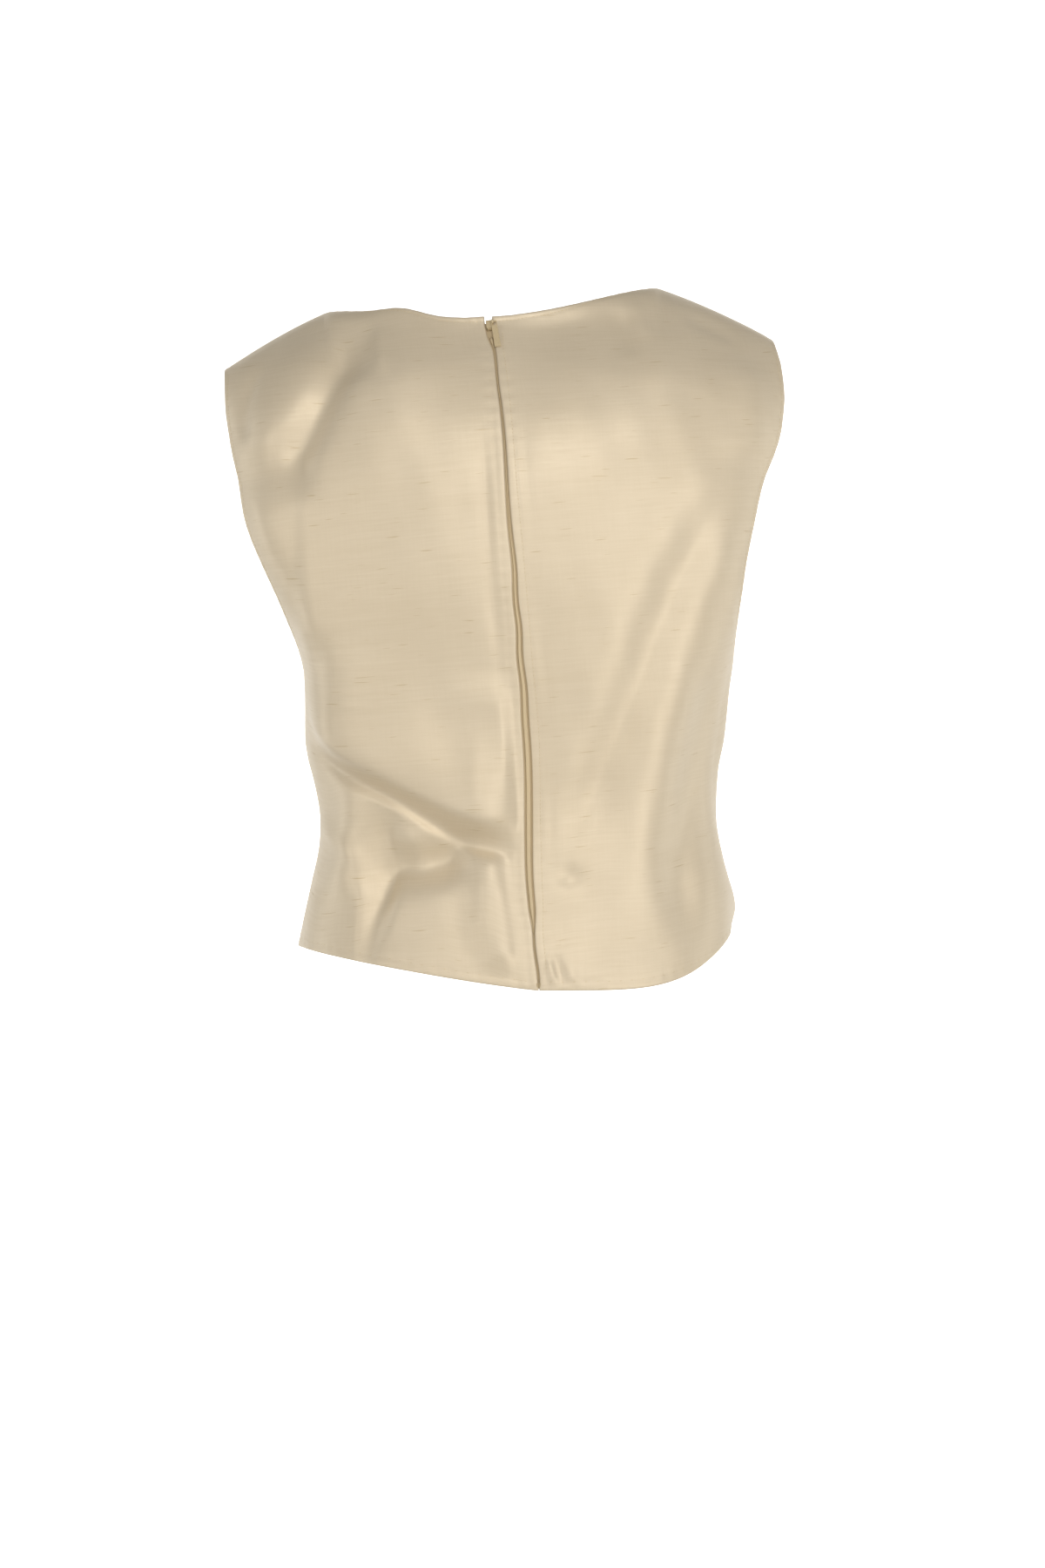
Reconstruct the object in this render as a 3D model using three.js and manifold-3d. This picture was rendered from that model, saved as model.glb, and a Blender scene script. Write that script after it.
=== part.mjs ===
// A sleeveless woven silk shell top, worn: boat neck, extended shoulders, deep armholes and a
// centre-back zip. Millimetres, +Z up, +Y towards the wearer's back, +X towards the wearer's left.
// The origin is midway between the neck ends of the two shoulder seams, where the shoulders hold it.
// Each panel is a wall between two grids. A grid's columns run from the centre line out to the edge
// and its rows from the neck and shoulder down to the hem, and both come from the tables below.

import * as THREE from 'three';
import { mergeVertices } from 'three/addons/utils/BufferGeometryUtils.js';
import Module from 'manifold-3d';

// ---- Cloth and seams
const WALL = 1.8; // cloth with its turned edges
const SEAM_GAP = 0.3; // between panels that are sewn to each other

// ---- Shoulder seams, from the neck end to the tip. `rise` is how far the seam bows up midway.
const SHOULDER = {
  left: { neckX: 115.9, neckZ: -8.5, tipX: 187.3, tipZ: -48.2, rise: 2.2 },
  right: { neckX: 115.9, neckZ: 8.6, tipX: 197.0, tipZ: -28.0, rise: 2.4 },
};

// ---- Outline of each side, by level: the edge's distance from the centre line, how far back the
// back panel's edge lies, how far forward the front panel's does (y), how much of a quarter turn the
// cloth makes from the centre to that edge (degrees), and what the level is.
const OUTLINE = {
  left: [
    { z: -48.2, x: 187.3, back: 34, front: -34, turn: 52, at: 'shoulder tip' },
    { z: -78, x: 185.6, back: 33, front: -38, turn: 53, at: 'armhole' },
    { z: -97, x: 182.6, back: 35, front: -42, turn: 54, at: 'armhole' },
    { z: -125, x: 176.4, back: 42, front: -48, turn: 56, at: 'armhole' },
    { z: -155, x: 169.4, back: 49, front: -53, turn: 59, at: 'armhole' },
    { z: -185, x: 157.2, back: 51, front: -54, turn: 64, at: 'armhole' },
    { z: -215, x: 145.0, back: 46, front: -48, turn: 71, at: 'armhole' },
    { z: -241, x: 135.4, back: 30, front: -32, turn: 81, at: 'armhole' },
    { z: -255, x: 131.6, back: 15, front: -16, turn: 88, at: 'armhole' },
    { z: -261.7, x: 130.6, back: 0, front: 0, turn: 90, at: 'underarm' },
    { z: -305, x: 131.0, back: 0, front: 0, turn: 90, at: 'side seam' },
    { z: -320, x: 129.0, back: 0, front: 0, turn: 90, at: 'side seam' },
    { z: -342, x: 122.4, back: 0, front: 0, turn: 90, at: 'side seam' },
    { z: -362, x: 119.0, back: 0, front: 0, turn: 90, at: 'waist' },
    { z: -380, x: 120.4, back: 0, front: 0, turn: 90, at: 'side seam' },
    { z: -405, x: 126.0, back: 0, front: 0, turn: 90, at: 'side seam' },
    { z: -451, x: 136.0, back: 0, front: 0, turn: 90, at: 'hem' },
  ],
  right: [
    { z: -28, x: 197.0, back: 34, front: -34, turn: 52, at: 'shoulder tip' },
    { z: -48, x: 202.0, back: 33, front: -36, turn: 53, at: 'armhole' },
    { z: -68, x: 203.4, back: 34, front: -38, turn: 54, at: 'armhole' },
    { z: -90, x: 200.9, back: 37, front: -41, turn: 55, at: 'armhole' },
    { z: -110, x: 195.0, back: 42, front: -46, turn: 56, at: 'armhole' },
    { z: -132, x: 187.2, back: 46, front: -50, turn: 58, at: 'armhole' },
    { z: -157, x: 180.8, back: 49, front: -53, turn: 61, at: 'armhole' },
    { z: -194, x: 173.5, back: 49, front: -52, turn: 68, at: 'armhole' },
    { z: -222, x: 170.4, back: 37, front: -38, turn: 79, at: 'armhole' },
    { z: -239, x: 169.3, back: 20, front: -17, turn: 88, at: 'armhole' },
    { z: -246.4, x: 169.2, back: 4, front: 4, turn: 90, at: 'underarm' },
    { z: -272, x: 166.0, back: 4, front: 4, turn: 90, at: 'side seam' },
    { z: -306, x: 162.6, back: 3, front: 3, turn: 90, at: 'side seam' },
    { z: -330, x: 158.0, back: 2, front: 2, turn: 90, at: 'side seam' },
    { z: -362, x: 156.6, back: 0, front: 0, turn: 90, at: 'waist' },
    { z: -390, x: 161.6, back: -2, front: -2, turn: 90, at: 'side seam' },
    { z: -424, x: 170.8, back: -4, front: -4, turn: 90, at: 'side seam' },
    { z: -441, x: 166.0, back: 0, front: 0, turn: 90, at: 'hem' },
  ],
};

// ---- Centre lines, by level: where the zip runs, half the gap that its folded edges leave, and how
// far back and forward the two panels stand there.
const CENTRE = [
  { z: -16.5, zipX: 2.4, gap: 2.6, back: 58, front: -56 },
  { z: -31, zipX: 0.2, gap: 2.4, back: 66, front: -62 },
  { z: -42, zipX: -1.8, gap: 1.0, back: 72, front: -68 },
  { z: -62, zipX: -4.7, gap: 0.8, back: 83, front: -79 },
  { z: -100, zipX: -8.2, gap: 0.9, back: 97, front: -96 },
  { z: -138, zipX: -11.0, gap: 1.2, back: 103, front: -110 },
  { z: -190, zipX: -15.3, gap: 1.7, back: 104, front: -124 },
  { z: -255, zipX: -20.2, gap: 2.3, back: 99, front: -126 },
  { z: -314, zipX: -24.6, gap: 2.7, back: 90, front: -117 },
  { z: -368, zipX: -25.4, gap: 2.7, back: 84, front: -110 },
  { z: -421, zipX: -27.4, gap: 2.4, back: 88, front: -110 },
  { z: -441, zipX: -29.2, gap: 0.7, back: 91, front: -112 },
  { z: -468, zipX: -31.6, gap: 0.8, back: 96, front: -114 },
  { z: -478, zipX: -32.6, gap: 0.15, back: 97, front: -115 },
];
const TAPE_FOOT_Z = -472; // the tape's tails run on behind the seam below the zip

// ---- Neck and hem
const NECK = {
  back: { depth: 58, drop: 16.5, dropPower: 1.5 },
  front: { depth: -56, drop: 30, dropPower: 1.6 },
};
const NECK_ROUND = 0.7; // how full the neckline's arc is, seen from above
const NECK_RIPPLE = { x: 60, width: 20, rise: 5 }; // the back neckline stands up a little here
const HEM = {
  back: { centreZ: -478, leftPower: 1.15, rightPower: 5 },
  front: { centreZ: -434, leftPower: 2, rightPower: 2 },
};

// ---- Roundness
const BOXINESS = 0.85; // 1 is an ellipse from above, less is squarer
const SHOULDER_ROUND = 72; // height over which the cloth rolls over the shoulder
const NAPE_ROUND = 30; // and the same at the centre of the neckline
const SHOULDER_FULLNESS = 0.5;

// ---- The largest folds. A fold that runs `down` has its crest at x = path(z), and one that runs
// `across` has it at z = path(x). `high` is its height, negative for a trough. `before` and `after`
// are its half widths on the side of the smaller and the larger coordinate, and it fades out over
// `fade` of its length at each end.
const FOLDS = [
  { name: 'left overhang', face: 'back', runs: 'across', high: 9, before: 9, after: 34, fade: 0.22,
    path: [[-26, -362], [8, -349], [33, -331], [57, -312], [84, -297], [112, -282], [134, -262]] },
  { name: 'under the overhang', face: 'back', runs: 'across', high: -6, before: 13, after: 9, fade: 0.25,
    path: [[-26, -379], [8, -368], [33, -352], [57, -334], [84, -320], [112, -306], [136, -296]] },
  { name: 'waist tuck', face: 'back', runs: 'across', high: -8, before: 15, after: 15, fade: 0.3,
    path: [[4, -381], [30, -390], [52, -396], [75, -410], [97, -440]] },
  { name: 'left waist swell', face: 'back', runs: 'down', high: 5, before: 13, after: 13, fade: 0.3,
    path: [[-425, 108], [-385, 99], [-350, 96], [-325, 104]] },
  { name: 'beside the zip', face: 'back', runs: 'down', high: -5, before: 8, after: 11, fade: 0.25,
    path: [[-468, -12], [-420, -10], [-380, -14], [-345, -15], [-300, -10]] },
  { name: 'left shoulder trough', face: 'back', runs: 'down', high: -7, before: 13, after: 14, fade: 0.3,
    path: [[-150, 128], [-118, 134], [-94, 124], [-66, 111], [-44, 103], [-12, 106]] },
  { name: 'left shoulder ridge', face: 'back', runs: 'down', high: 4, before: 12, after: 14, fade: 0.3,
    path: [[-130, 168], [-95, 156], [-62, 143], [-32, 133], [-20, 130]] },
  { name: 'left armhole roll', face: 'back', runs: 'down', high: 4, before: 16, after: 12, fade: 0.25,
    path: [[-262, 112], [-215, 131], [-170, 150], [-125, 163]] },
  { name: 'right long valley', face: 'back', runs: 'down', high: -5, before: 13, after: 17, fade: 0.2,
    path: [[-404, -54], [-359, -69], [-314, -84], [-266, -102], [-225, -117], [-180, -137], [-125, -158]] },
  { name: 'right long ridge', face: 'back', runs: 'down', high: 5, before: 15, after: 18, fade: 0.25,
    path: [[-455, -98], [-403, -95], [-350, -108], [-300, -124], [-250, -139], [-200, -150]] },
  { name: 'right side valley', face: 'back', runs: 'down', high: -6, before: 11, after: 13, fade: 0.2,
    path: [[-458, -132], [-427, -131], [-382, -134], [-340, -142], [-290, -151], [-240, -160]] },
  { name: 'right shoulder roll', face: 'back', runs: 'down', high: 4, before: 14, after: 18, fade: 0.3,
    path: [[-125, -178], [-95, -181], [-60, -178], [-36, -166]] },
  { name: 'front left drag', face: 'front', runs: 'across', high: 7, before: 10, after: 30, fade: 0.25,
    path: [[10, -352], [40, -330], [75, -306], [105, -286], [132, -266]] },
  { name: 'under the front drag', face: 'front', runs: 'across', high: -6, before: 13, after: 10, fade: 0.25,
    path: [[6, -372], [38, -352], [72, -330], [105, -310], [134, -298]] },
  { name: 'front right drag', face: 'front', runs: 'across', high: 5, before: 16, after: 24, fade: 0.25,
    path: [[-164, -258], [-130, -276], [-95, -300], [-60, -330]] },
  { name: 'front left hem fold', face: 'front', runs: 'down', high: -6, before: 14, after: 15, fade: 0.25,
    path: [[-444, 62], [-405, 58], [-370, 66], [-335, 82]] },
  { name: 'front right hem fold', face: 'front', runs: 'down', high: -6, before: 15, after: 15, fade: 0.25,
    path: [[-440, -86], [-395, -78], [-345, -84], [-300, -104]] },
  { name: 'front right hem ridge', face: 'front', runs: 'down', high: 5, before: 14, after: 14, fade: 0.3,
    path: [[-442, -124], [-400, -116], [-350, -122], [-305, -138]] },
  { name: 'front left shoulder trough', face: 'front', runs: 'down', high: -5, before: 13, after: 13, fade: 0.3,
    path: [[-150, 120], [-110, 112], [-70, 104], [-30, 108]] },
  { name: 'front right shoulder trough', face: 'front', runs: 'down', high: -5, before: 13, after: 13, fade: 0.3,
    path: [[-165, -132], [-120, -122], [-75, -114], [-30, -116]] },
];

// ---- Grid: columns from the centre line to the neck end and on to the edge, closer together by the
// zip, and rows above and below the underarm, closer together at both ends of the armhole.
const COLUMNS = { neck: 9, shoulder: 7, neckPower: 1.35 };
const ROWS = { armhole: 16, side: 22, evenness: 0.4 };
const UNDERARM = 0.53; // share of the edge from the shoulder tip to the hem

// ---- Zip
const TAPE = { thick: 1.0, behind: 0.35, firstRow: 1 };
const SLIDER = { z: -22.6, halfTop: 1.9, halfFoot: 1.6, length: 7.4, sink: 1.5, proud: 0.9, round: 0.6 };
const PLATE = { from: -2.1, to: 2.9, thick: 0.7, length: 6.4 };
const BAIL = { across: 2.3, wide: 1.1, bar: 0.6, inner: 1.05, down: -1.2 };
const PULL = { across: 3.2, width: 4.4, topWidth: 3.8, length: 21, thick: 0.8, crossbar: 0.9,
  windowWidth: 3.0, windowLength: 3.4, leanDegrees: 9.5, tipClear: 0.6, round: 1.2 };

// ---- Materials
const SILK = { color: 0xd6c4a3, roughness: 0.55, metalness: 0 };
const TAPE_CLOTH = { color: 0xc9b48c, roughness: 0.8, metalness: 0 };
const PAINTED_METAL = { color: 0xcbbd92, roughness: 0.4, metalness: 0.2 };

// ---------------------------------------------------------------- small maths

const degrees = (a) => (a * Math.PI) / 180;
const clamp = (v, low, high) => Math.min(high, Math.max(low, v));
const mix = (a, b, t) => a + (b - a) * t;
const smooth = (t) => t * t * (3 - 2 * t);

// A smooth curve through rows of [place, value] that never overshoots them, flat past both ends.
function throughRows(rows) {
  const sorted = [...rows].sort((a, b) => a[0] - b[0]);
  const last = sorted.length - 1;
  const slope = (i) => (sorted[i + 1][1] - sorted[i][1]) / (sorted[i + 1][0] - sorted[i][0]);
  const tangent = sorted.map((row, i) => {
    if (i === 0) return slope(0);
    if (i === last) return slope(last - 1);
    const before = slope(i - 1);
    const after = slope(i);
    return before * after > 0 ? (2 * before * after) / (before + after) : 0;
  });
  return (place) => {
    const p = clamp(place, sorted[0][0], sorted[last][0]);
    let i = 0;
    while (i < last - 1 && p > sorted[i + 1][0]) i += 1;
    const step = sorted[i + 1][0] - sorted[i][0];
    const t = (p - sorted[i][0]) / step;
    const [start, end] = [sorted[i][1], sorted[i + 1][1]];
    const base = mix(start, end, smooth(t));
    const lift = t * (1 - t) * ((1 - t) * tangent[i] - t * tangent[i + 1]) * step;
    return base + lift;
  };
}

const column = (table, key) => throughRows(table.map((row) => [row.z, row[key]]));

const outline = {};
for (const side of ['left', 'right']) {
  outline[side] = {};
  for (const key of ['x', 'back', 'front', 'turn']) outline[side][key] = column(OUTLINE[side], key);
}
const centre = {};
for (const key of ['zipX', 'gap', 'back', 'front']) centre[key] = column(CENTRE, key);
const folds = FOLDS.map((fold) => ({ ...fold, crest: throughRows(fold.path) }));

// ---------------------------------------------------------------- the worn surface

// Distance out from the centre line, as a share of the half width, and depth, as a share of the
// centre's stand over the edge's, for a place 0 to 1 along a section that makes the given turn.
function section(place, turnDegrees) {
  const turn = degrees(turnDegrees);
  const angle = turn * place;
  const out = (Math.sin(angle) / Math.sin(turn)) ** BOXINESS;
  const depth = Math.max(0, (Math.cos(angle) - Math.cos(turn)) / (1 - Math.cos(turn))) ** BOXINESS;
  return { out, depth };
}

const sign = (side) => (side === 'left' ? 1 : -1);
const topTurn = OUTLINE.left[0].turn;

// Level of the neckline or the shoulder seam at a distance x out from the centre line.
function topLevel(face, side, x) {
  const seam = SHOULDER[side];
  const neck = NECK[face];
  if (x >= seam.neckX) {
    const along = (x - seam.neckX) / (seam.tipX - seam.neckX);
    return mix(seam.neckZ, seam.tipZ, along) + seam.rise * 4 * along * (1 - along);
  }
  const across = (sign(side) * x) / seam.neckX;
  const chord = mix(SHOULDER.right.neckZ, SHOULDER.left.neckZ, (across + 1) / 2);
  const drop = neck.drop * (1 - across * across) ** neck.dropPower;
  const ripple = face === 'back'
    ? NECK_RIPPLE.rise * Math.exp(-(((sign(side) * x - NECK_RIPPLE.x) / NECK_RIPPLE.width) ** 2)) : 0;
  return chord - drop + ripple;
}

function hemLevel(face, side, out) {
  const edgeZ = OUTLINE[side].at(-1).z;
  const hem = HEM[face];
  const power = side === 'left' ? hem.leftPower : hem.rightPower;
  return mix(hem.centreZ, edgeZ, out ** power);
}

// A point of the smooth cloth. `place` runs from 0 at the centre line to 1 at the edge, and `fall`
// from 0 at the neck and shoulder to 1 at the hem.
function bare(face, side, place, fall) {
  const way = sign(side);
  const edge = outline[side];
  const top = section(place, topTurn).out;
  const tip = SHOULDER[side].tipX;
  const startX = centre.zipX(0) * way;
  const xTop = mix(startX, tip, top);
  const zTop = topLevel(face, side, xTop);
  const low = section(place, 90).out;
  const z = mix(zTop, hemLevel(face, side, low), fall);

  const middle = centre.zipX(z) * way + (face === 'back' ? centre.gap(z) : 0);
  const ring = section(place, edge.turn(z));
  const x = mix(middle, edge.x(z), ring.out);
  const yEdge = edge[face](z);
  const yRing = yEdge + (centre[face](z) - yEdge) * ring.depth;

  const inNeck = clamp(xTop / SHOULDER[side].neckX, 0, 1);
  const yTop = NECK[face].depth * (1 - inNeck * inNeck) ** NECK_ROUND;
  const round = mix(NAPE_ROUND, SHOULDER_ROUND, smooth(inNeck));
  const left = clamp(1 - (zTop - z) / round, 0, 1);
  const roll = (1 - left * left) ** SHOULDER_FULLNESS;
  return new THREE.Vector3(x * way, mix(yTop, yRing, roll), z);
}

const STEP = 0.003; // for slopes, as a share of a panel's width or height

// The way out of the cloth, from the slopes of a surface at a place on it.
function wayOut(surface, face, side, place, fall) {
  const [p0, p1] = [Math.max(0, place - STEP), Math.min(1, place + STEP)];
  const [f0, f1] = [Math.max(0, fall - STEP), Math.min(1, fall + STEP)];
  const across = surface(face, side, p1, fall).sub(surface(face, side, p0, fall));
  const down = surface(face, side, place, f1).sub(surface(face, side, place, f0));
  const out = across.cross(down).normalize();
  const flip = (face === 'back' ? 1 : -1) * sign(side);
  return out.multiplyScalar(flip);
}

// Height of all the folds at a point: each is a bell across its crest, with its own two half widths.
function foldHeight(face, point) {
  let height = 0;
  for (const fold of folds) {
    if (fold.face !== face) continue;
    const [along, across] = fold.runs === 'down' ? [point.z, point.x] : [point.x, point.z];
    const ends = fold.path.map((row) => row[0]);
    const [low, high] = [Math.min(...ends), Math.max(...ends)];
    const reach = (high - low) * fold.fade;
    const fade = smooth(clamp(Math.min(along - low, high - along) / reach, 0, 1));
    if (fade === 0) continue;
    const slope = (fold.crest(along + 2) - fold.crest(along - 2)) / 4;
    const off = (across - fold.crest(along)) / Math.hypot(1, slope);
    height += fold.high * fade * Math.exp(-((off / (off < 0 ? fold.before : fold.after)) ** 2));
  }
  return height;
}

// The seam that two panels share must fold the same way on both, so folds die out towards it.
const SEAM_FADE = 0.12;
const atSeam = (place, fall) => (fall > UNDERARM - 0.02 ? smooth(clamp((1 - place) / SEAM_FADE, 0, 1)) : 1)
  * smooth(clamp(fall / 0.03, 0, 1));

function cloth(face, side, place, fall) {
  const point = bare(face, side, place, fall);
  const height = foldHeight(face, point) * atSeam(place, fall);
  if (height === 0) return point;
  return point.addScaledVector(wayOut(bare, face, side, place, fall), height);
}

// ---------------------------------------------------------------- grids and walls

const neckPlace = (side) => {
  const startX = centre.zipX(0) * sign(side);
  const share = ((SHOULDER[side].neckX - startX) / (SHOULDER[side].tipX - startX)) ** (1 / BOXINESS);
  return Math.asin(share * Math.sin(degrees(topTurn))) / degrees(topTurn);
};

function places(side) {
  const neck = neckPlace(side);
  const list = [];
  for (let i = 0; i <= COLUMNS.neck; i += 1) list.push(neck * (i / COLUMNS.neck) ** COLUMNS.neckPower);
  for (let i = 1; i <= COLUMNS.shoulder; i += 1) list.push(mix(neck, 1, i / COLUMNS.shoulder));
  return list;
}

function falls() {
  const list = [];
  for (let i = 0; i <= ROWS.armhole; i += 1) {
    const share = i / ROWS.armhole;
    list.push(UNDERARM * mix((1 - Math.cos(Math.PI * share)) / 2, share, ROWS.evenness));
  }
  for (let i = 1; i <= ROWS.side; i += 1) list.push(mix(UNDERARM, 1, i / ROWS.side));
  return list;
}

// On a seam both panels use one way out and step back from the seam line by half the gap.
function seamFrame(side, place, fall) {
  const faces = ['back', 'front'];
  const out = new THREE.Vector3();
  const inward = faces.map((face) => {
    out.add(wayOut(bare, face, side, place, fall));
    const inner = fall === 0 ? bare(face, side, place, STEP) : bare(face, side, 1 - STEP, fall);
    return inner.sub(bare(face, side, place, fall)).normalize();
  });
  out.normalize();
  const back = inward[0].sub(inward[1]);
  back.addScaledVector(out, -back.dot(out)).normalize();
  return { out, back };
}

// One column of a half panel: its outer points and the way out at each.
function gridPoint(face, side, column, row, placeList, fallList) {
  const place = placeList[column];
  const fall = fallList[row];
  const point = cloth(face, side, place, fall);
  const onShoulder = row === 0 && column >= COLUMNS.neck;
  const onSide = column === placeList.length - 1 && row >= ROWS.armhole;
  if (!onShoulder && !onSide) return { point, out: wayOut(cloth, face, side, place, fall) };
  const frame = seamFrame(side, place, fall);
  point.addScaledVector(frame.back, (face === 'back' ? 1 : -1) * (SEAM_GAP / 2));
  return { point, out: frame.out };
}

function halfGrid(face, side) {
  const placeList = places(side);
  const fallList = falls();
  return placeList.map((_, c) => fallList.map((__, r) => gridPoint(face, side, c, r, placeList, fallList)));
}

const moved = (grid, distance) => grid.map((line) => line.map(({ point, out }) =>
  point.clone().addScaledVector(out, distance)));

// A closed wall between an outer and an inner grid of the same size.
function wall(outer, inner) {
  const [across, down] = [outer.length, outer[0].length];
  const positions = [];
  for (const grid of [outer, inner]) for (const line of grid) for (const p of line) positions.push(p.x, p.y, p.z);
  const at = (layer, c, r) => layer * across * down + c * down + r;
  const faces = [];
  const quad = (a, b, c, d) => faces.push(a, b, c, a, c, d);
  for (let c = 0; c < across - 1; c += 1) {
    for (let r = 0; r < down - 1; r += 1) {
      quad(at(0, c, r), at(0, c, r + 1), at(0, c + 1, r + 1), at(0, c + 1, r));
      quad(at(1, c, r), at(1, c + 1, r), at(1, c + 1, r + 1), at(1, c, r + 1));
    }
    quad(at(0, c, 0), at(0, c + 1, 0), at(1, c + 1, 0), at(1, c, 0));
    quad(at(0, c + 1, down - 1), at(0, c, down - 1), at(1, c, down - 1), at(1, c + 1, down - 1));
  }
  for (let r = 0; r < down - 1; r += 1) {
    quad(at(0, 0, r + 1), at(0, 0, r), at(1, 0, r), at(1, 0, r + 1));
    quad(at(0, across - 1, r), at(0, across - 1, r + 1), at(1, across - 1, r + 1), at(1, across - 1, r));
  }
  const geometry = new THREE.BufferGeometry();
  geometry.setAttribute('position', new THREE.Float32BufferAttribute(positions, 3));
  geometry.setIndex(signedVolume(positions, faces) > 0 ? faces : faces.reverse());
  geometry.computeVertexNormals();
  return geometry;
}

function signedVolume(positions, faces) {
  const corner = (i) => new THREE.Vector3().fromArray(positions, i * 3);
  let volume = 0;
  for (let i = 0; i < faces.length; i += 3) {
    volume += corner(faces[i]).dot(corner(faces[i + 1]).cross(corner(faces[i + 2]))) / 6;
  }
  return volume;
}

const backGrid = { left: halfGrid('back', 'left'), right: halfGrid('back', 'right') };

function backGeometry(side) {
  return wall(moved(backGrid[side], 0), moved(backGrid[side], -WALL));
}

function frontGeometry() {
  const grid = [...halfGrid('front', 'right').slice(1).reverse(), ...halfGrid('front', 'left')];
  return wall(moved(grid, 0), moved(grid, -WALL));
}

// ---------------------------------------------------------------- zip

// The tape lies behind the two folded edges: it is made from their inner points, moved further in.
function tapeGeometry() {
  const [right, left] = ['right', 'left'].map((side) => backGrid[side].slice(0, 2).map((line) =>
    line.slice(TAPE.firstRow).filter(({ point }) => point.z > TAPE_FOOT_Z)));
  const middle = left[0].map((cell, r) => ({
    point: cell.point.clone().add(right[0][r].point).multiplyScalar(0.5),
    out: cell.out.clone().add(right[0][r].out).normalize(),
  }));
  const grid = [right[1], right[0], middle, left[0], left[1]];
  const depth = -WALL - TAPE.behind;
  return wall(moved(grid, depth), moved(grid, depth - TAPE.thick));
}

// A frame on the cloth over the zip: its columns point across (to the wearer's right), out and down.
function zipFrame() {
  const at = (z) => new THREE.Vector3(centre.zipX(z), centre.back(z), z);
  const down = at(SLIDER.z - 5).sub(at(SLIDER.z + 5)).normalize();
  const right = new THREE.Vector3(-1, 0, 0);
  const across = right.addScaledVector(down, -right.dot(down)).normalize();
  const out = across.clone().cross(down).negate();
  const edge = backGrid.right[0].map((cell) => cell.point);
  const near = edge.reduce((a, b) => (Math.abs(b.z - SLIDER.z) < Math.abs(a.z - SLIDER.z) ? b : a));
  const origin = at(SLIDER.z);
  origin.addScaledVector(out, near.clone().sub(origin).dot(out));
  return new THREE.Matrix4().makeBasis(across, out, down).setPosition(origin);
}

const manifold = await Module();
manifold.setup();

function toSolid(geometry) {
  const plain = geometry.clone();
  plain.deleteAttribute('normal');
  plain.deleteAttribute('uv');
  const merged = mergeVertices(plain, 1e-4);
  return new manifold.Manifold(new manifold.Mesh({
    numProp: 3,
    vertProperties: new Float32Array(merged.attributes.position.array),
    triVerts: new Uint32Array(merged.index.array),
  }));
}

function toGeometry(solid) {
  const mesh = solid.getMesh();
  const geometry = new THREE.BufferGeometry();
  geometry.setAttribute('position', new THREE.BufferAttribute(new Float32Array(mesh.vertProperties), 3));
  geometry.setIndex(Array.from(mesh.triVerts));
  geometry.computeVertexNormals();
  return geometry;
}

// A plate cut from a shape in the frame's across and down directions, between two heights. The
// extrusion runs along z, so it is turned to lie along the way out.
function plate(shape, low, high) {
  const geometry = new THREE.ExtrudeGeometry(shape, { depth: high - low, bevelEnabled: false, curveSegments: 5 });
  geometry.rotateX(Math.PI / 2);
  geometry.translate(0, high, 0);
  return geometry;
}

function roundedShape(x0, x1, y0, y1, radius, x2 = x0, x3 = x1) {
  // x0, x1 at the low end y0, and x2, x3 at the high end y1.
  const shape = new THREE.Shape();
  shape.moveTo(x0 + radius, y0);
  shape.lineTo(x1 - radius, y0);
  shape.quadraticCurveTo(x1, y0, mix(x1, x3, radius / (y1 - y0)), y0 + radius);
  shape.lineTo(mix(x3, x1, radius / (y1 - y0)), y1 - radius);
  shape.quadraticCurveTo(x3, y1, x3 - radius, y1);
  shape.lineTo(x2 + radius, y1);
  shape.quadraticCurveTo(x2, y1, mix(x2, x0, radius / (y1 - y0)), y1 - radius);
  shape.lineTo(mix(x0, x2, radius / (y1 - y0)), y0 + radius);
  shape.quadraticCurveTo(x0, y0, x0 + radius, y0);
  return shape;
}

// In the zip's frame the shape's y is the way down.
function stemGeometry() {
  const half = SLIDER.length / 2;
  const shape = roundedShape(-SLIDER.halfTop, SLIDER.halfTop, -half, half, SLIDER.round,
    -SLIDER.halfFoot, SLIDER.halfFoot);
  return plate(shape, -SLIDER.sink, SLIDER.proud);
}

function coverGeometry() {
  const half = PLATE.length / 2;
  const shape = roundedShape(PLATE.from, PLATE.to, -half, half, SLIDER.round);
  return plate(shape, SLIDER.proud - 0.2, SLIDER.proud + PLATE.thick);
}

const hingeHeight = SLIDER.proud + PLATE.thick + BAIL.inner - 0.15;

// The bail is an arch that stands on the cover plate, with its bar's axis across.
function bailGeometry() {
  const outer = BAIL.inner + BAIL.bar;
  const foot = -(BAIL.inner + 0.05);
  const shape = new THREE.Shape();
  shape.moveTo(-outer, foot);
  shape.lineTo(-outer, 0);
  shape.absarc(0, 0, outer, Math.PI, 0, true);
  shape.lineTo(outer, foot);
  shape.lineTo(BAIL.inner, foot);
  shape.lineTo(BAIL.inner, 0);
  shape.absarc(0, 0, BAIL.inner, 0, Math.PI, false);
  shape.lineTo(-BAIL.inner, foot);
  shape.lineTo(-outer, foot);
  const geometry = new THREE.ExtrudeGeometry(shape, { depth: BAIL.wide, bevelEnabled: false, curveSegments: 6 });
  // Shape x runs down the zip, shape y out of it, and the extrusion across it.
  const turn = new THREE.Matrix4().makeBasis(
    new THREE.Vector3(0, 0, 1), new THREE.Vector3(0, 1, 0), new THREE.Vector3(-1, 0, 0));
  geometry.applyMatrix4(turn);
  geometry.translate(BAIL.across + BAIL.wide / 2, hingeHeight, BAIL.down);
  return geometry;
}

function sliderGeometry() {
  return toGeometry(toSolid(stemGeometry()).add(toSolid(coverGeometry())).add(toSolid(bailGeometry())));
}

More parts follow.
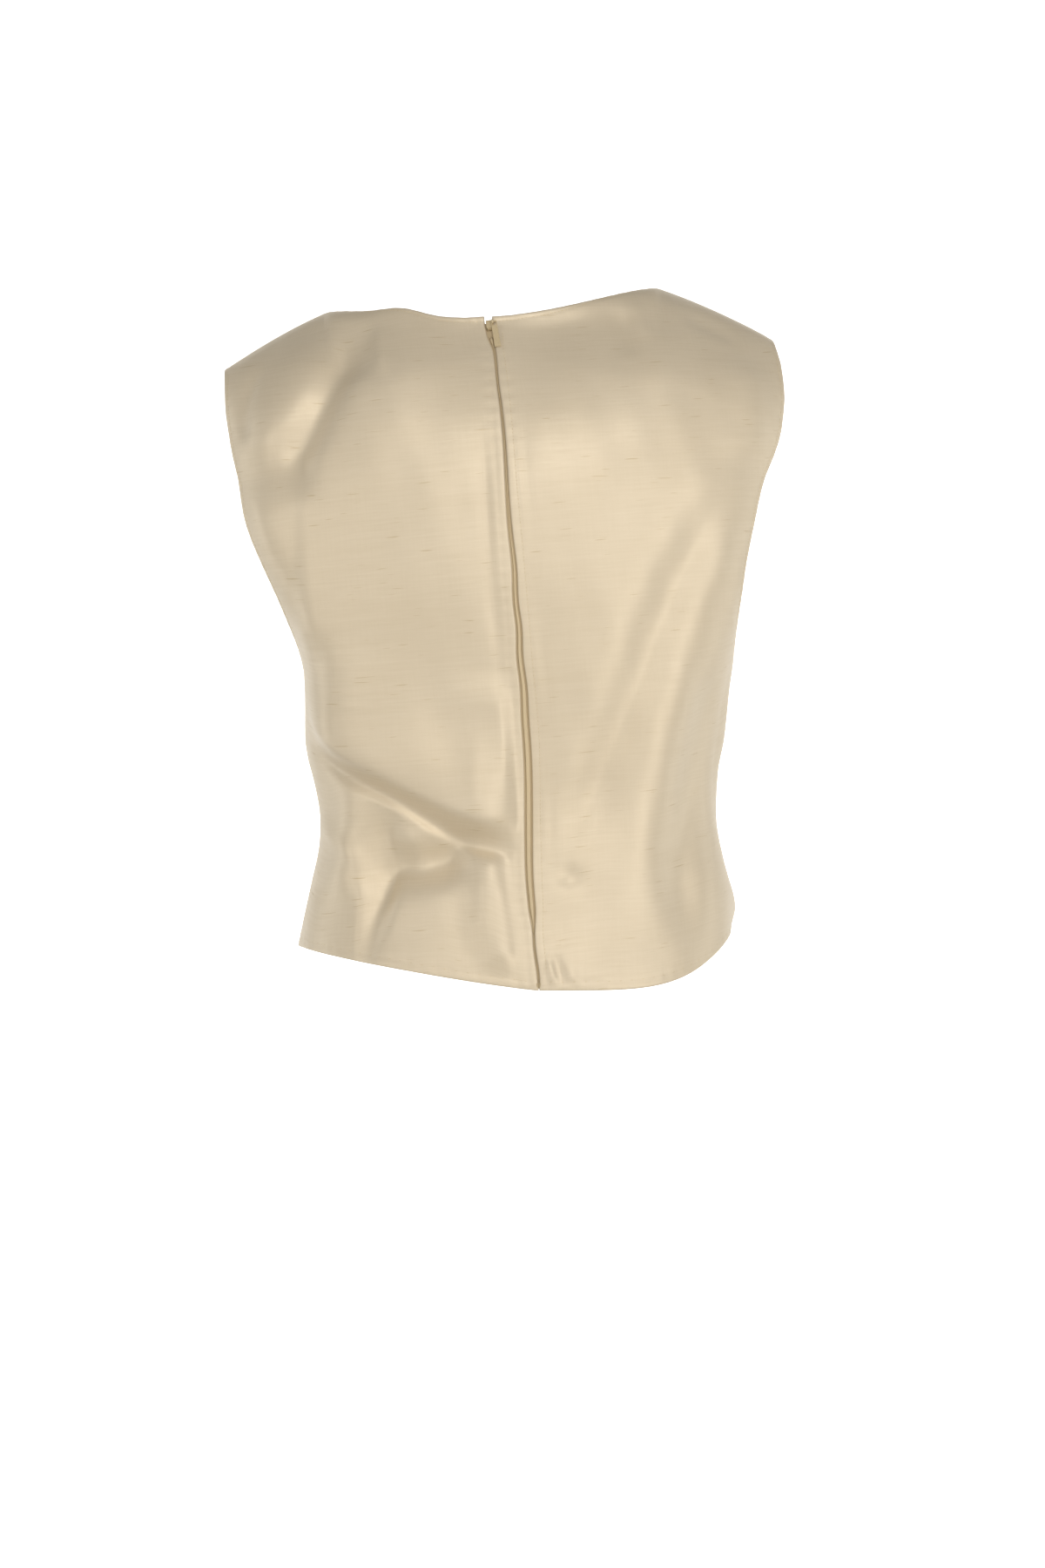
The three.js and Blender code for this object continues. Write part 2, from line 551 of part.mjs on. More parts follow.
// The pull tab hangs from its crossbar. Its own frame has x across, y out and z down from the hinge.
function pullFrame(frame) {
  const hinge = new THREE.Vector3(BAIL.across, hingeHeight, BAIL.down).applyMatrix4(frame);
  const lean = Math.tan(degrees(PULL.leanDegrees));
  const tipZ = hinge.z - PULL.length * 0.93;
  const tipX = hinge.x - lean * (hinge.z - tipZ);
  const rows = backGrid.right.slice(0, 2).flat().map((cell) => cell.point);
  const near = rows.filter((p) => Math.abs(p.z - tipZ) < 14);
  const weight = (p) => 1 / (0.5 + (p.z - tipZ) ** 2 + (p.x - tipX) ** 2);
  const total = near.reduce((sum, p) => sum + weight(p), 0);
  const clothY = near.reduce((sum, p) => sum + p.y * weight(p), 0) / total;
  const tip = new THREE.Vector3(tipX, clothY + PULL.tipClear + PULL.thick, tipZ);
  const down = tip.sub(hinge).normalize();
  const right = new THREE.Vector3(-1, 0, 0);
  const across = right.addScaledVector(down, -right.dot(down)).normalize();
  const out = across.clone().cross(down).negate();
  return new THREE.Matrix4().makeBasis(across, out, down).setPosition(hinge);
}

function pullGeometry() {
  const offset = PULL.across - BAIL.across;
  const [top, foot] = [-PULL.crossbar / 2, PULL.length - PULL.crossbar / 2];
  const shape = roundedShape(offset - PULL.topWidth / 2, offset + PULL.topWidth / 2, top, foot,
    PULL.round * 0.4, offset - PULL.width / 2, offset + PULL.width / 2);
  const hole = new THREE.Path();
  const half = PULL.windowWidth / 2;
  hole.moveTo(offset - half, PULL.crossbar / 2);
  hole.lineTo(offset + half, PULL.crossbar / 2);
  hole.lineTo(offset + half, PULL.windowLength);
  hole.lineTo(offset - half, PULL.windowLength);
  hole.closePath();
  shape.holes.push(hole);
  return plate(shape, -PULL.thick / 2, PULL.thick / 2);
}

// ---------------------------------------------------------------- the object

function piece(name, geometry, material, frame = new THREE.Matrix4()) {
  const mesh = new THREE.Mesh(geometry, new THREE.MeshStandardMaterial(material));
  mesh.name = name;
  mesh.applyMatrix4(frame);
  return mesh;
}

const onZip = zipFrame();
const top = new THREE.Group();
top.add(piece('back_left', backGeometry('left'), SILK));
top.add(piece('back_right', backGeometry('right'), SILK));
top.add(piece('front', frontGeometry(), SILK));
top.add(piece('zip_tape', tapeGeometry(), TAPE_CLOTH));
top.add(piece('zip_slider', sliderGeometry(), PAINTED_METAL, onZip));
top.add(piece('zip_pull', pullGeometry(), PAINTED_METAL, pullFrame(onZip)));

export default top;
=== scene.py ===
"""A sleeveless shell top of slubbed silk, worn, with a centre-back zip.

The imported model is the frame: the cloth here is a thin shell on the form of its solids. Lengths in
the tables are millimetres and are turned to metres once, where a mesh is made. +X is the wearer's
left, +Y the back, +Z up, and the origin lies midway between the neck ends of the shoulder seams.
"""

import math
from types import SimpleNamespace

import bpy
import numpy as np
from bpy.props import FloatProperty, FloatVectorProperty, PointerProperty, StringProperty
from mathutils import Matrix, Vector


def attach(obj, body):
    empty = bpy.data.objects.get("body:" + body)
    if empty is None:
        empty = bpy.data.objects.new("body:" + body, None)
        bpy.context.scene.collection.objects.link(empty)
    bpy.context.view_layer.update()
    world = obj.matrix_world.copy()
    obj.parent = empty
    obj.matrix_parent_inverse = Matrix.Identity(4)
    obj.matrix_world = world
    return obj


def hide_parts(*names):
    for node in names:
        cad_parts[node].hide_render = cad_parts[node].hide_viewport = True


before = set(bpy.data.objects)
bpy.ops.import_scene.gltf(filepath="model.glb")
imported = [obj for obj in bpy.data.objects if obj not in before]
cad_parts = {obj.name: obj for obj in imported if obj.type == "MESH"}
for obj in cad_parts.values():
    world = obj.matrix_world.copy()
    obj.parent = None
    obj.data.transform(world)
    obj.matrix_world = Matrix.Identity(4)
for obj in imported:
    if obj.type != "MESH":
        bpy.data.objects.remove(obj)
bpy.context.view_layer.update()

bl_info = {
    "name": "Silk shell top",
    "version": (1, 0, 0),
    "blender": (4, 5, 0),
    "location": "3D View > Sidebar > Silk top",
    "description": "Builds a worn sleeveless silk top with a centre-back zip",
    "category": "Add Mesh",
}

MM = 0.001

# ---------- the worn form, in millimetres

# Shoulder seams from the neck end to the tip: distance out, level, and how far the seam bows up.
SHOULDER = {
    "left": {"neck_x": 115.9, "neck_z": -8.5, "tip_x": 187.3, "tip_z": -48.2, "rise": 2.2},
    "right": {"neck_x": 115.9, "neck_z": 8.6, "tip_x": 197.0, "tip_z": -28.0, "rise": 2.4},
}

# Outline of each side by level: z, the edge's distance out, how far back the back panel's edge lies,
# how far forward the front's does, and how much of a quarter turn the cloth makes to get there.
OUTLINE_COLUMNS = ("z", "x", "back", "front", "turn")
OUTLINE = {
    "left": (
        (-48.2, 187.3, 34, -34, 52), (-78, 185.6, 33, -38, 53),
        (-97, 182.6, 35, -42, 54), (-125, 176.4, 42, -48, 56),
        (-155, 169.4, 49, -53, 59), (-185, 157.2, 51, -54, 64),
        (-215, 145.0, 46, -48, 71), (-241, 135.4, 30, -32, 81),
        (-255, 131.6, 15, -16, 88), (-261.7, 130.6, 0, 0, 90),
        (-305, 131.0, 0, 0, 90), (-320, 129.0, 0, 0, 90),
        (-342, 122.4, 0, 0, 90), (-362, 119.0, 0, 0, 90),
        (-380, 120.4, 0, 0, 90), (-405, 126.0, 0, 0, 90),
        (-451, 136.0, 0, 0, 90),
    ),
    "right": (
        (-28, 197.0, 34, -34, 52), (-48, 202.0, 33, -36, 53),
        (-68, 203.4, 34, -38, 54), (-90, 200.9, 37, -41, 55),
        (-110, 195.0, 42, -46, 56), (-132, 187.2, 46, -50, 58),
        (-157, 180.8, 49, -53, 61), (-194, 173.5, 49, -52, 68),
        (-222, 170.4, 37, -38, 79), (-239, 169.3, 20, -17, 88),
        (-246.4, 169.2, 4, 4, 90), (-272, 166.0, 4, 4, 90),
        (-306, 162.6, 3, 3, 90), (-330, 158.0, 2, 2, 90),
        (-362, 156.6, 0, 0, 90), (-390, 161.6, -2, -2, 90),
        (-424, 170.8, -4, -4, 90), (-441, 166.0, 0, 0, 90),
    ),
}

# Centre lines by level: z, where the zip runs, half the gap of its folded edges, and how far back
# and forward the two panels stand there.
CENTRE_COLUMNS = ("z", "zip_x", "gap", "back", "front")
CENTRE = (
    (-16.5, 2.4, 2.6, 58, -56), (-31, 0.2, 2.4, 66, -62),
    (-42, -1.8, 1.0, 72, -68), (-62, -4.7, 0.8, 83, -79),
    (-100, -8.2, 0.9, 97, -96), (-138, -11.0, 1.2, 103, -110),
    (-190, -15.3, 1.7, 104, -124), (-255, -20.2, 2.3, 99, -126),
    (-314, -24.6, 2.7, 90, -117), (-368, -25.4, 2.7, 84, -110),
    (-421, -27.4, 2.4, 88, -110), (-441, -29.2, 0.7, 91, -112),
    (-468, -31.6, 0.8, 96, -114), (-478, -32.6, 0.15, 97, -115),
)

NECK = {
    "back": {"depth": 58, "drop": 16.5, "power": 1.5},
    "front": {"depth": -56, "drop": 30, "power": 1.6},
}
NECK_ROUND = 0.7
NECK_RIPPLE = SimpleNamespace(x=60, width=20, rise=5)
HEM = {
    "back": {"centre_z": -478, "left": 1.15, "right": 5},
    "front": {"centre_z": -434, "left": 2, "right": 2},
}
BOXINESS = 0.85
SHOULDER_ROUND = 72
NAPE_ROUND = 30
SHOULDER_FULLNESS = 0.5
UNDERARM = 0.53

# Creases: (high, half width before, half width after, fade, path). `high` is negative for a trough.
# One that runs "down" has its crest at x = path(z), and one that runs "across" at z = path(x).
# `before` and `after` are on the side of the smaller and the larger coordinate.
CREASES = {}
CREASES["back", "across"] = (
    # the cloth's overhang on the left, the hollow under it and the lip below
    (14, 14, 44, 0.22,
     ((-22, -366), (10, -357), (40, -344), (65, -330), (90, -316), (119, -290), (136, -256))),
    (-5, 5, 12, 0.2,
     ((-22, -386), (10, -380), (40, -365), (65, -349), (90, -337), (119, -316), (136, -290))),
    (1.4, 3.5, 4, 0.5, ((20, -382), (40, -371), (65, -355), (90, -342), (119, -323))),
    # the forked tuck below it
    (-12.5, 15, 13, 0.3, ((6, -390), (22, -387), (40, -391), (62, -393), (80, -412), (95, -446))),
    (2.2, 7, 8, 0.35, ((84, -394), (100, -380), (122, -366))),
    # the right neck end's puckers
    (-1.2, 5, 7, 0.35, ((-176, -34), (-152, -22), (-128, -14))),
)
CREASES["back", "down"] = (
    (5, 13, 13, 0.3, ((-425, 108), (-385, 99), (-350, 96), (-325, 104))),
    (-5, 9, 10, 0.35, ((-416, 84), (-396, 80), (-376, 75), (-354, 69))),
    (2.5, 8, 8, 0.4, ((-402, 50), (-385, 52), (-366, 52))),
    (3, 8, 10, 0.35, ((-456, 8), (-425, 5), (-400, 2), (-384, -2))),
    (4.5, 7, 15, 0.2, ((-470, -10), (-440, -8), (-412, -4), (-378, 3))),
    (4.5, 7, 26, 0.22, ((-382, -12), (-345, -9.5), (-300, -6), (-258, -2))),
    (-1.2, 4, 5, 0.3, ((-262, -7), (-220, -2), (-160, 3), (-110, 6))),
    (-3, 12, 13, 0.4, ((-66, 92), (-40, 90), (-14, 84))),
    (-9, 12, 13, 0.3, ((-150, 128), (-118, 134), (-94, 124), (-66, 111), (-44, 103), (-12, 106))),
    (2.5, 14, 16, 0.3, ((-130, 168), (-95, 156), (-62, 143), (-32, 133), (-20, 130))),
    (4, 16, 12, 0.25, ((-262, 112), (-215, 131), (-170, 150), (-125, 163))),
    (-2.2, 5, 6, 0.35, ((-110, 170), (-85, 171), (-62, 166), (-46, 158))),
    (1.6, 5, 5, 0.35, ((-62, 74), (-40, 77), (-18, 80))),
    (-6, 14, 19, 0.25,
     ((-404, -54), (-359, -69), (-314, -84), (-266, -102), (-225, -117), (-180, -137), (-125, -158))),
    (3, 20, 22, 0.3, ((-455, -98), (-403, -95), (-350, -108), (-300, -124), (-250, -139), (-200, -150))),
    (-6, 13, 16, 0.25,
     ((-458, -132), (-427, -131), (-382, -134), (-340, -142), (-290, -151), (-240, -160))),
    (3, 15, 18, 0.3, ((-125, -178), (-95, -181), (-60, -178), (-36, -166))),
    (-1.2, 6, 8, 0.35, ((-48, -96), (-28, -92), (-6, -88))),
    (1.0, 5, 6, 0.35, ((-36, -108), (-18, -102), (0, -98))),
    # puckers at the hem beside the zip's foot
    (1.2, 2.5, 3, 0.4, ((-477, -45), (-466, -41), (-454, -39))),
    (-1.2, 2.5, 3, 0.4, ((-477, -51), (-464, -46), (-450, -44))),
    (1.1, 2.5, 3, 0.4, ((-477, -60), (-467, -55), (-458, -53))),
)
CREASES["front", "across"] = (
    (7, 9, 30, 0.25, ((10, -352), (40, -330), (75, -306), (105, -286), (132, -266))),
    (-6, 13, 9, 0.25, ((6, -372), (38, -352), (72, -330), (105, -310), (134, -298))),
    (2.2, 4, 5, 0.3, ((20, -372), (48, -354), (80, -334), (112, -318))),
    (5, 15, 24, 0.25, ((-164, -258), (-130, -276), (-95, -300), (-60, -330))),
    (-2, 5, 7, 0.35, ((-166, -284), (-134, -302), (-100, -326))),
)
CREASES["front", "down"] = (
    (-6, 14, 15, 0.25, ((-444, 62), (-405, 58), (-370, 66), (-335, 82))),
    (-6, 15, 15, 0.25, ((-440, -86), (-395, -78), (-345, -84), (-300, -104))),
    (5, 14, 14, 0.3, ((-442, -124), (-400, -116), (-350, -122), (-305, -138))),
    (-5, 13, 13, 0.3, ((-150, 120), (-110, 112), (-70, 104), (-30, 108))),
    (-5, 13, 13, 0.3, ((-165, -132), (-120, -122), (-75, -114), (-30, -116))),
    (1.8, 5, 6, 0.35, ((-90, 88), (-62, 84), (-38, 86))),
    (-1.8, 5, 6, 0.35, ((-86, -92), (-60, -88), (-36, -90))),
)
DIMPLE = SimpleNamespace(x=-53.5, z=-401, deep=3.0, radius=8.5)

# Waves too soft to place one by one: (height, length across, length down, shift), as sines.
SOFT_WAVES = (
    (0.8, 171, 212, 0.6),
    (0.45, 96, -310, 2.1),
    (0.22, 57, 139, 4.0),
    (0.12, -31, 88, 1.2),
)
FACE_SHIFT = {"back": 0, "front": 1.7}  # so that the two faces don't wave alike

# Cloth, in millimetres
CLOTH = 0.5  # one layer of silk
FOLD_RADIUS = 0.75  # half the thickness of a turned edge
TURNING = {"neck": 5.0, "armhole": 5.0, "hem": 7.0, "zip": 9.0}  # how deep each turned edge is
STITCH_AT = {"neck": 4.0, "armhole": 4.0, "hem": 6.0, "zip": 5.6}
STITCH = SimpleNamespace(length=1.9, radius=0.15, lift=0.0325, dive=0.14, sides=6, rings=7)
STITCH_ENDS = SimpleNamespace(zip=(-26, -466), seam=0.004, shoulder=0.012, hem_columns=3)
GROOVE = SimpleNamespace(deep=0.12, width=0.9)
BAR_TACK = SimpleNamespace(z=-474, half=2.6, points=5, pitch=1.7, lift=0.1)
BAR_TACK_DROPS = (-1.2, -0.8, -0.4, 0.0, 0.4, 0.8, 1.2)
STITCH_PITCH = {"neck": 2.6, "armhole": 2.6, "hem": 8.0, "zip": 2.6}
SEAM_DIP = 0.7  # how far the cloth dips into a sewn seam
SEAM_DIP_WIDTH = 1.6
SEAM_GAP = 0.3
TURNING_EASE = 0.8  # half the width over which a turning's second layer fades in
# The low roll between a fold and its stitches: where it is and how wide, as shares of that stretch.
ROLL = SimpleNamespace(high=0.10, at=0.45, width=0.3)
# Small waves along turned edges: height, wave, how much the wave sways, over what length, and where
# the band of waves has its middle and how wide it is.
GATHERS = {
    ("neck", "hem"): (0.10, 1.45, 1.7, 23, 4.5, 5),
    ("armhole", "zip"): (0.09, 1.55, 1.9, 31, 5, 5),
}
ZIP_WAVE = SimpleNamespace(high=0.42, wave=9.5, sway=2.2, over=37, width=3.5)
PRESS_MARK = SimpleNamespace(deep=0.45, at=13, width=3.2, wave=19, shift=0.8)
FAR = 1e3  # a distance past every effect
SLIVER = 1e-6  # keeps a place that lies exactly on a seam's end on that seam

# Zip, in millimetres
TAPE = SimpleNamespace(top=-21, foot=-477, behind=0.5, thick=0.45, half=12.0, columns=15)
# How the tape passes from a straight line across the zip over to the inside of the cloth.
TAPE_BEND = SimpleNamespace(slack=1.5, start=1.0, over=2.5)
CHAIN = SimpleNamespace(
    top=-30, foot=-441, half=2.6, thinnest=0.3, clear=1.1, columns=17, behind=0.1,
    thick=0.35, high=1.6, past_half=0.5, tooth=0.04, pitch=1.25,
)

# Grid: columns out from the centre and rows down, with closer ones along the edges.
GRID = SimpleNamespace(
    columns={"back": 86, "front": 70}, rows=236,
    edge=16, edge_step=0.45, edge_growth=1.12,
)
FIRST_STEP = 0.35  # the step next to an edge, as a share of edge_step
SPAN = {"zip": 150, "side": 170, "top": 440, "hem": 430}  # rough lengths that turn steps into places

# ---------- small maths


def smooth(t):
    """Ease from 0 to 1 with level ends: three t squared less two t cubed."""
    t = np.clip(t, 0, 1)
    return t * t * (3 - 2 * t)


def mix(a, b, t):
    return a + (b - a) * t


def through_rows(places, values):
    """A smooth curve through the rows that never overshoots them, level past both ends.

    Between two rows it is a cubic whose end slopes are the harmonic mean of the slopes on both
    sides, or 0 where they differ in sign.
    """
    order = np.argsort(places)
    x, y = np.asarray(places, float)[order], np.asarray(values, float)[order]
    slope = np.diff(y) / np.diff(x)
    tangent = np.zeros_like(y)
    tangent[0], tangent[-1] = slope[0], slope[-1]
    product = slope[:-1] * slope[1:]
    total = slope[:-1] + slope[1:]
    tangent[1:-1] = np.where(product > 0, 2 * product / np.where(product > 0, total, 1), 0)

    def curve(at):
        at = np.clip(at, x[0], x[-1])
        i = np.clip(np.searchsorted(x, at, side="left") - 1, 0, len(x) - 2)
        step = x[i + 1] - x[i]
        t = (at - x[i]) / step
        lift = t * (1 - t) * ((1 - t) * tangent[i] - t * tangent[i + 1]) * step
        return mix(y[i], y[i + 1], smooth(t)) + lift

    return curve


def table_curves(names, rows):
    """One curve by level for each named column of a table whose first column is the level."""
    columns = list(zip(*rows))
    return {name: through_rows(columns[0], columns[i]) for i, name in enumerate(names) if i}


def evened(curve, reach=9):
    """A curve averaged over `reach` millimetres to either side, so that no row shows as a break."""
    return lambda at: sum(curve(at + reach * k / 3) for k in range(-3, 4)) / 7


EDGE = {side: table_curves(OUTLINE_COLUMNS, rows) for side, rows in OUTLINE.items()}
MIDDLE = table_curves(CENTRE_COLUMNS, CENTRE)
MIDDLE.update({face: evened(MIDDLE[face]) for face in ("back", "front")})
SOFT_EDGE = {side: {key: evened(curve, 24) for key, curve in EDGE[side].items()} for side in EDGE}
TOP_TURN = OUTLINE["left"][0][4]
WAY = {"left": 1, "right": -1}


def length(v):
    return np.sqrt((v * v).sum(-1))


def unit(v):
    return v / np.maximum(length(v), 1e-12)[..., None]


# ---------- the worn surface


def section(place, turn):
    """How far out and how deep a place lies on a section that makes the given turn in degrees.

    Out is sin(angle) over sin(turn), depth is cos(angle) less cos(turn) over its largest value, and
    both are raised to BOXINESS, which squares an arc of an ellipse a little.
    """
    turn = np.radians(turn)
    angle = turn * place
    out = np.maximum(np.sin(angle) / np.sin(turn), 0) ** BOXINESS
    depth = np.maximum((np.cos(angle) - np.cos(turn)) / (1 - np.cos(turn)), 0) ** BOXINESS
    return out, depth


def top_level(face, side, x):
    """Level of the shoulder seam past the neck end, and of the neckline within it."""
    seam, neck = SHOULDER[side], NECK[face]
    along = (x - seam["neck_x"]) / (seam["tip_x"] - seam["neck_x"])
    shoulder = mix(seam["neck_z"], seam["tip_z"], along) + seam["rise"] * 4 * along * (1 - along)
    across = WAY[side] * x / seam["neck_x"]
    chord = mix(SHOULDER["right"]["neck_z"], SHOULDER["left"]["neck_z"], (across + 1) / 2)
    line = chord - neck["drop"] * np.maximum(1 - across**2, 0) ** neck["power"]
    if face == "back":
        off = (WAY[side] * x - NECK_RIPPLE.x) / NECK_RIPPLE.width
        line = line + NECK_RIPPLE.rise * np.exp(-(off**2))
    return np.where(x >= seam["neck_x"], shoulder, line)


def bare(face, side, place, fall):
    """The smooth cloth: place 0 at the centre line to 1 at the edge, fall 0 at the top to 1 at the hem.

    A level is a straight mix of the top edge and the hem. There the cloth follows its section from
    the centre line to the edge, and near the shoulder its depth shrinks as a quarter ellipse.
    """
    way, edge, seam = WAY[side], EDGE[side], SHOULDER[side]
    start = float(MIDDLE["zip_x"](0)) * way
    x_top = mix(start, seam["tip_x"], section(place, TOP_TURN)[0])
    z_top = top_level(face, side, x_top)
    low = section(place, 90)[0]
    hem_z = mix(HEM[face]["centre_z"], OUTLINE[side][-1][0], low ** HEM[face][side])
    z = mix(z_top, hem_z, fall)

    middle = MIDDLE["zip_x"](z) * way + (MIDDLE["gap"](z) if face == "back" else 0)
    x_edge, y_edge, turn = (
        mix(SOFT_EDGE[side][key](z), edge[key](z), place**16) for key in ("x", face, "turn")
    )
    out, depth = section(place, turn)
    x = mix(middle, x_edge, out)
    y_ring = y_edge + (MIDDLE[face](z) - y_edge) * depth

    in_neck = np.clip(x_top / seam["neck_x"], 0, 1)
    y_top = NECK[face]["depth"] * (1 - in_neck**2) ** NECK_ROUND
    roundness = mix(NAPE_ROUND, SHOULDER_ROUND, smooth(in_neck))
    left = np.clip(1 - (z_top - z) / roundness, 0, 1)
    roll = (1 - left**2) ** SHOULDER_FULLNESS
    return np.stack(np.broadcast_arrays(x * way, mix(y_top, y_ring, roll), z), -1)


SLOPE_STEP = 0.003  # half the stretch over which slopes are taken, as a share of the grid


def way_out(surface, face, side, place, fall):
    """Unit vectors out of the cloth: the cross product of its slopes across and down."""
    p0, p1 = np.maximum(place - SLOPE_STEP, 0), np.minimum(place + SLOPE_STEP, 1)
    f0, f1 = np.maximum(fall - SLOPE_STEP, 0), np.minimum(fall + SLOPE_STEP, 1)
    across = surface(face, side, p1, fall) - surface(face, side, p0, fall)
    down = surface(face, side, place, f1) - surface(face, side, place, f0)
    flip = WAY[side] * (1 if face == "back" else -1)
    return unit(np.cross(across, down)) * flip


def crease_height(face, points):
    """Sum of the creases: each is a bell across its crest with a half width on either side."""
    x, z = points[..., 0], points[..., 2]
    height = np.zeros(x.shape)
    for runs in ("across", "down"):
        along, across = (z, x) if runs == "down" else (x, z)
        for high, before, after, fade, path in CREASES[(face, runs)]:
            ends = [row[0] for row in path]
            low, top = min(ends), max(ends)
            crest = evened(through_rows(ends, [row[1] for row in path]), 6)
            strength = smooth(np.minimum(along - low, top - along) / ((top - low) * fade))
            slope = (crest(along + 2) - crest(along - 2)) / 4
            off = (across - crest(along)) / np.hypot(1, slope)
            height += high * strength * np.exp(-((off / np.where(off < 0, before, after)) ** 2))
    if face == "back":
        away = np.hypot(x - DIMPLE.x, z - DIMPLE.z) / DIMPLE.radius
        height -= DIMPLE.deep * np.exp(-(away**2))
    return height


def soft_waves(face, points):
    """Shallow waves all over, so that no stretch of cloth is dead smooth: a sum of slanted sines."""
    x, z = points[..., 0], points[..., 2]
    start = FACE_SHIFT[face]
    height = np.zeros(x.shape)
    for high, across, down, shift in SOFT_WAVES:
        height += high * np.sin(2 * math.pi * (x / across + z / down) + shift + start)
    return height


SEAM_FADE = 0.12  # the share of a row over which creases die out towards the side seam
TOP_FADE = 0.03  # the same down from the shoulder seam and the neckline
CHEST_Z = -150  # the level at which the pattern's rows are straight


def cloth(face, side, place, fall):
    """The worn cloth with its creases, which die out towards the seams that two panels share."""
    points = bare(face, side, place, fall)
    below = smooth((fall - UNDERARM + SEAM_FADE) / SEAM_FADE)
    calm = mix(1, smooth((1 - place) / SEAM_FADE), below) * smooth(fall / TOP_FADE)
    height = (crease_height(face, points) + soft_waves(face, points)) * calm
    return points + way_out(bare, face, side, place, fall) * height[..., None]


# ---------- grids


def neck_place(side):
    """The place along the top edge where the neckline meets the shoulder seam."""
    start = float(MIDDLE["zip_x"](0)) * WAY[side]
    seam = SHOULDER[side]
    share = ((seam["neck_x"] - start) / (seam["tip_x"] - start)) ** (1 / BOXINESS)
    turn = math.radians(TOP_TURN)
    return math.asin(share * math.sin(turn)) / turn


def edge_steps(scale):
    """Distances in from an edge, as shares of `scale` millimetres: close at first, then wider."""
    steps = GRID.edge_step * GRID.edge_growth ** np.arange(GRID.edge)
    steps[0] *= FIRST_STEP
    return np.concatenate([[0.0], np.cumsum(steps)]) / scale


def spaced(count, near_start, near_end):
    """Places from 0 to 1: the given ones near both ends and even steps between them."""
    middle = np.linspace(near_start[-1], 1 - near_end[-1], count)
    return np.concatenate([near_start, middle[1:-1], 1 - near_end[::-1]])


def columns(face, side):
    """Places of the grid's columns. One column falls exactly on the neck end of the shoulder."""
    zip_edge = (edge_steps(SPAN["zip"]) ** (1 / BOXINESS)) if face == "back" else np.array([0.0, 0.01])
    side_edge = edge_steps(SPAN["side"])
    places = spaced(GRID.columns[face], zip_edge, side_edge)
    neck = neck_place(side)
    places[np.argmin(abs(places - neck))] = neck
    return places


def rows():
    """Falls of the grid's rows. One row falls exactly on the underarm."""
    falls = spaced(GRID.rows, edge_steps(SPAN["top"]), edge_steps(SPAN["hem"]))
    falls[np.argmin(abs(falls - UNDERARM))] = UNDERARM
    return falls


def seam_frame(side, place, fall):
    """On a shared seam: the way out that both panels use, and the way from the front to the back."""
    out = unit(way_out(bare, "back", side, place, fall) + way_out(bare, "front", side, place, fall))
    inner_place = np.where(fall <= 0, place, 1 - SLOPE_STEP)
    inner_fall = np.where(fall <= 0, SLOPE_STEP, fall)
    inward = [
        unit(bare(face, side, inner_place, inner_fall) - bare(face, side, place, fall))
        for face in ("back", "front")
    ]
    back = inward[0] - inward[1]
    return out, unit(back - out * (back * out).sum(-1, keepdims=True))


def travelled(points, axis):
    """Length walked along a grid's lines from their first point, in millimetres."""
    steps = length(np.diff(points, axis=axis))
    lead = np.zeros_like(np.take(steps, [0], axis=axis))
    return np.concatenate([lead, np.cumsum(steps, axis=axis)], axis=axis)


def near(distance, width):
    """A bell: e to the power of minus the square of distance over width."""
    return np.exp(-((distance / width) ** 2))


def swaying(walked, wave, sway, over):
    """A sine of the length walked whose phase sways, so that no two waves are alike."""
    return np.sin(walked / wave + sway * np.sin(walked / over))


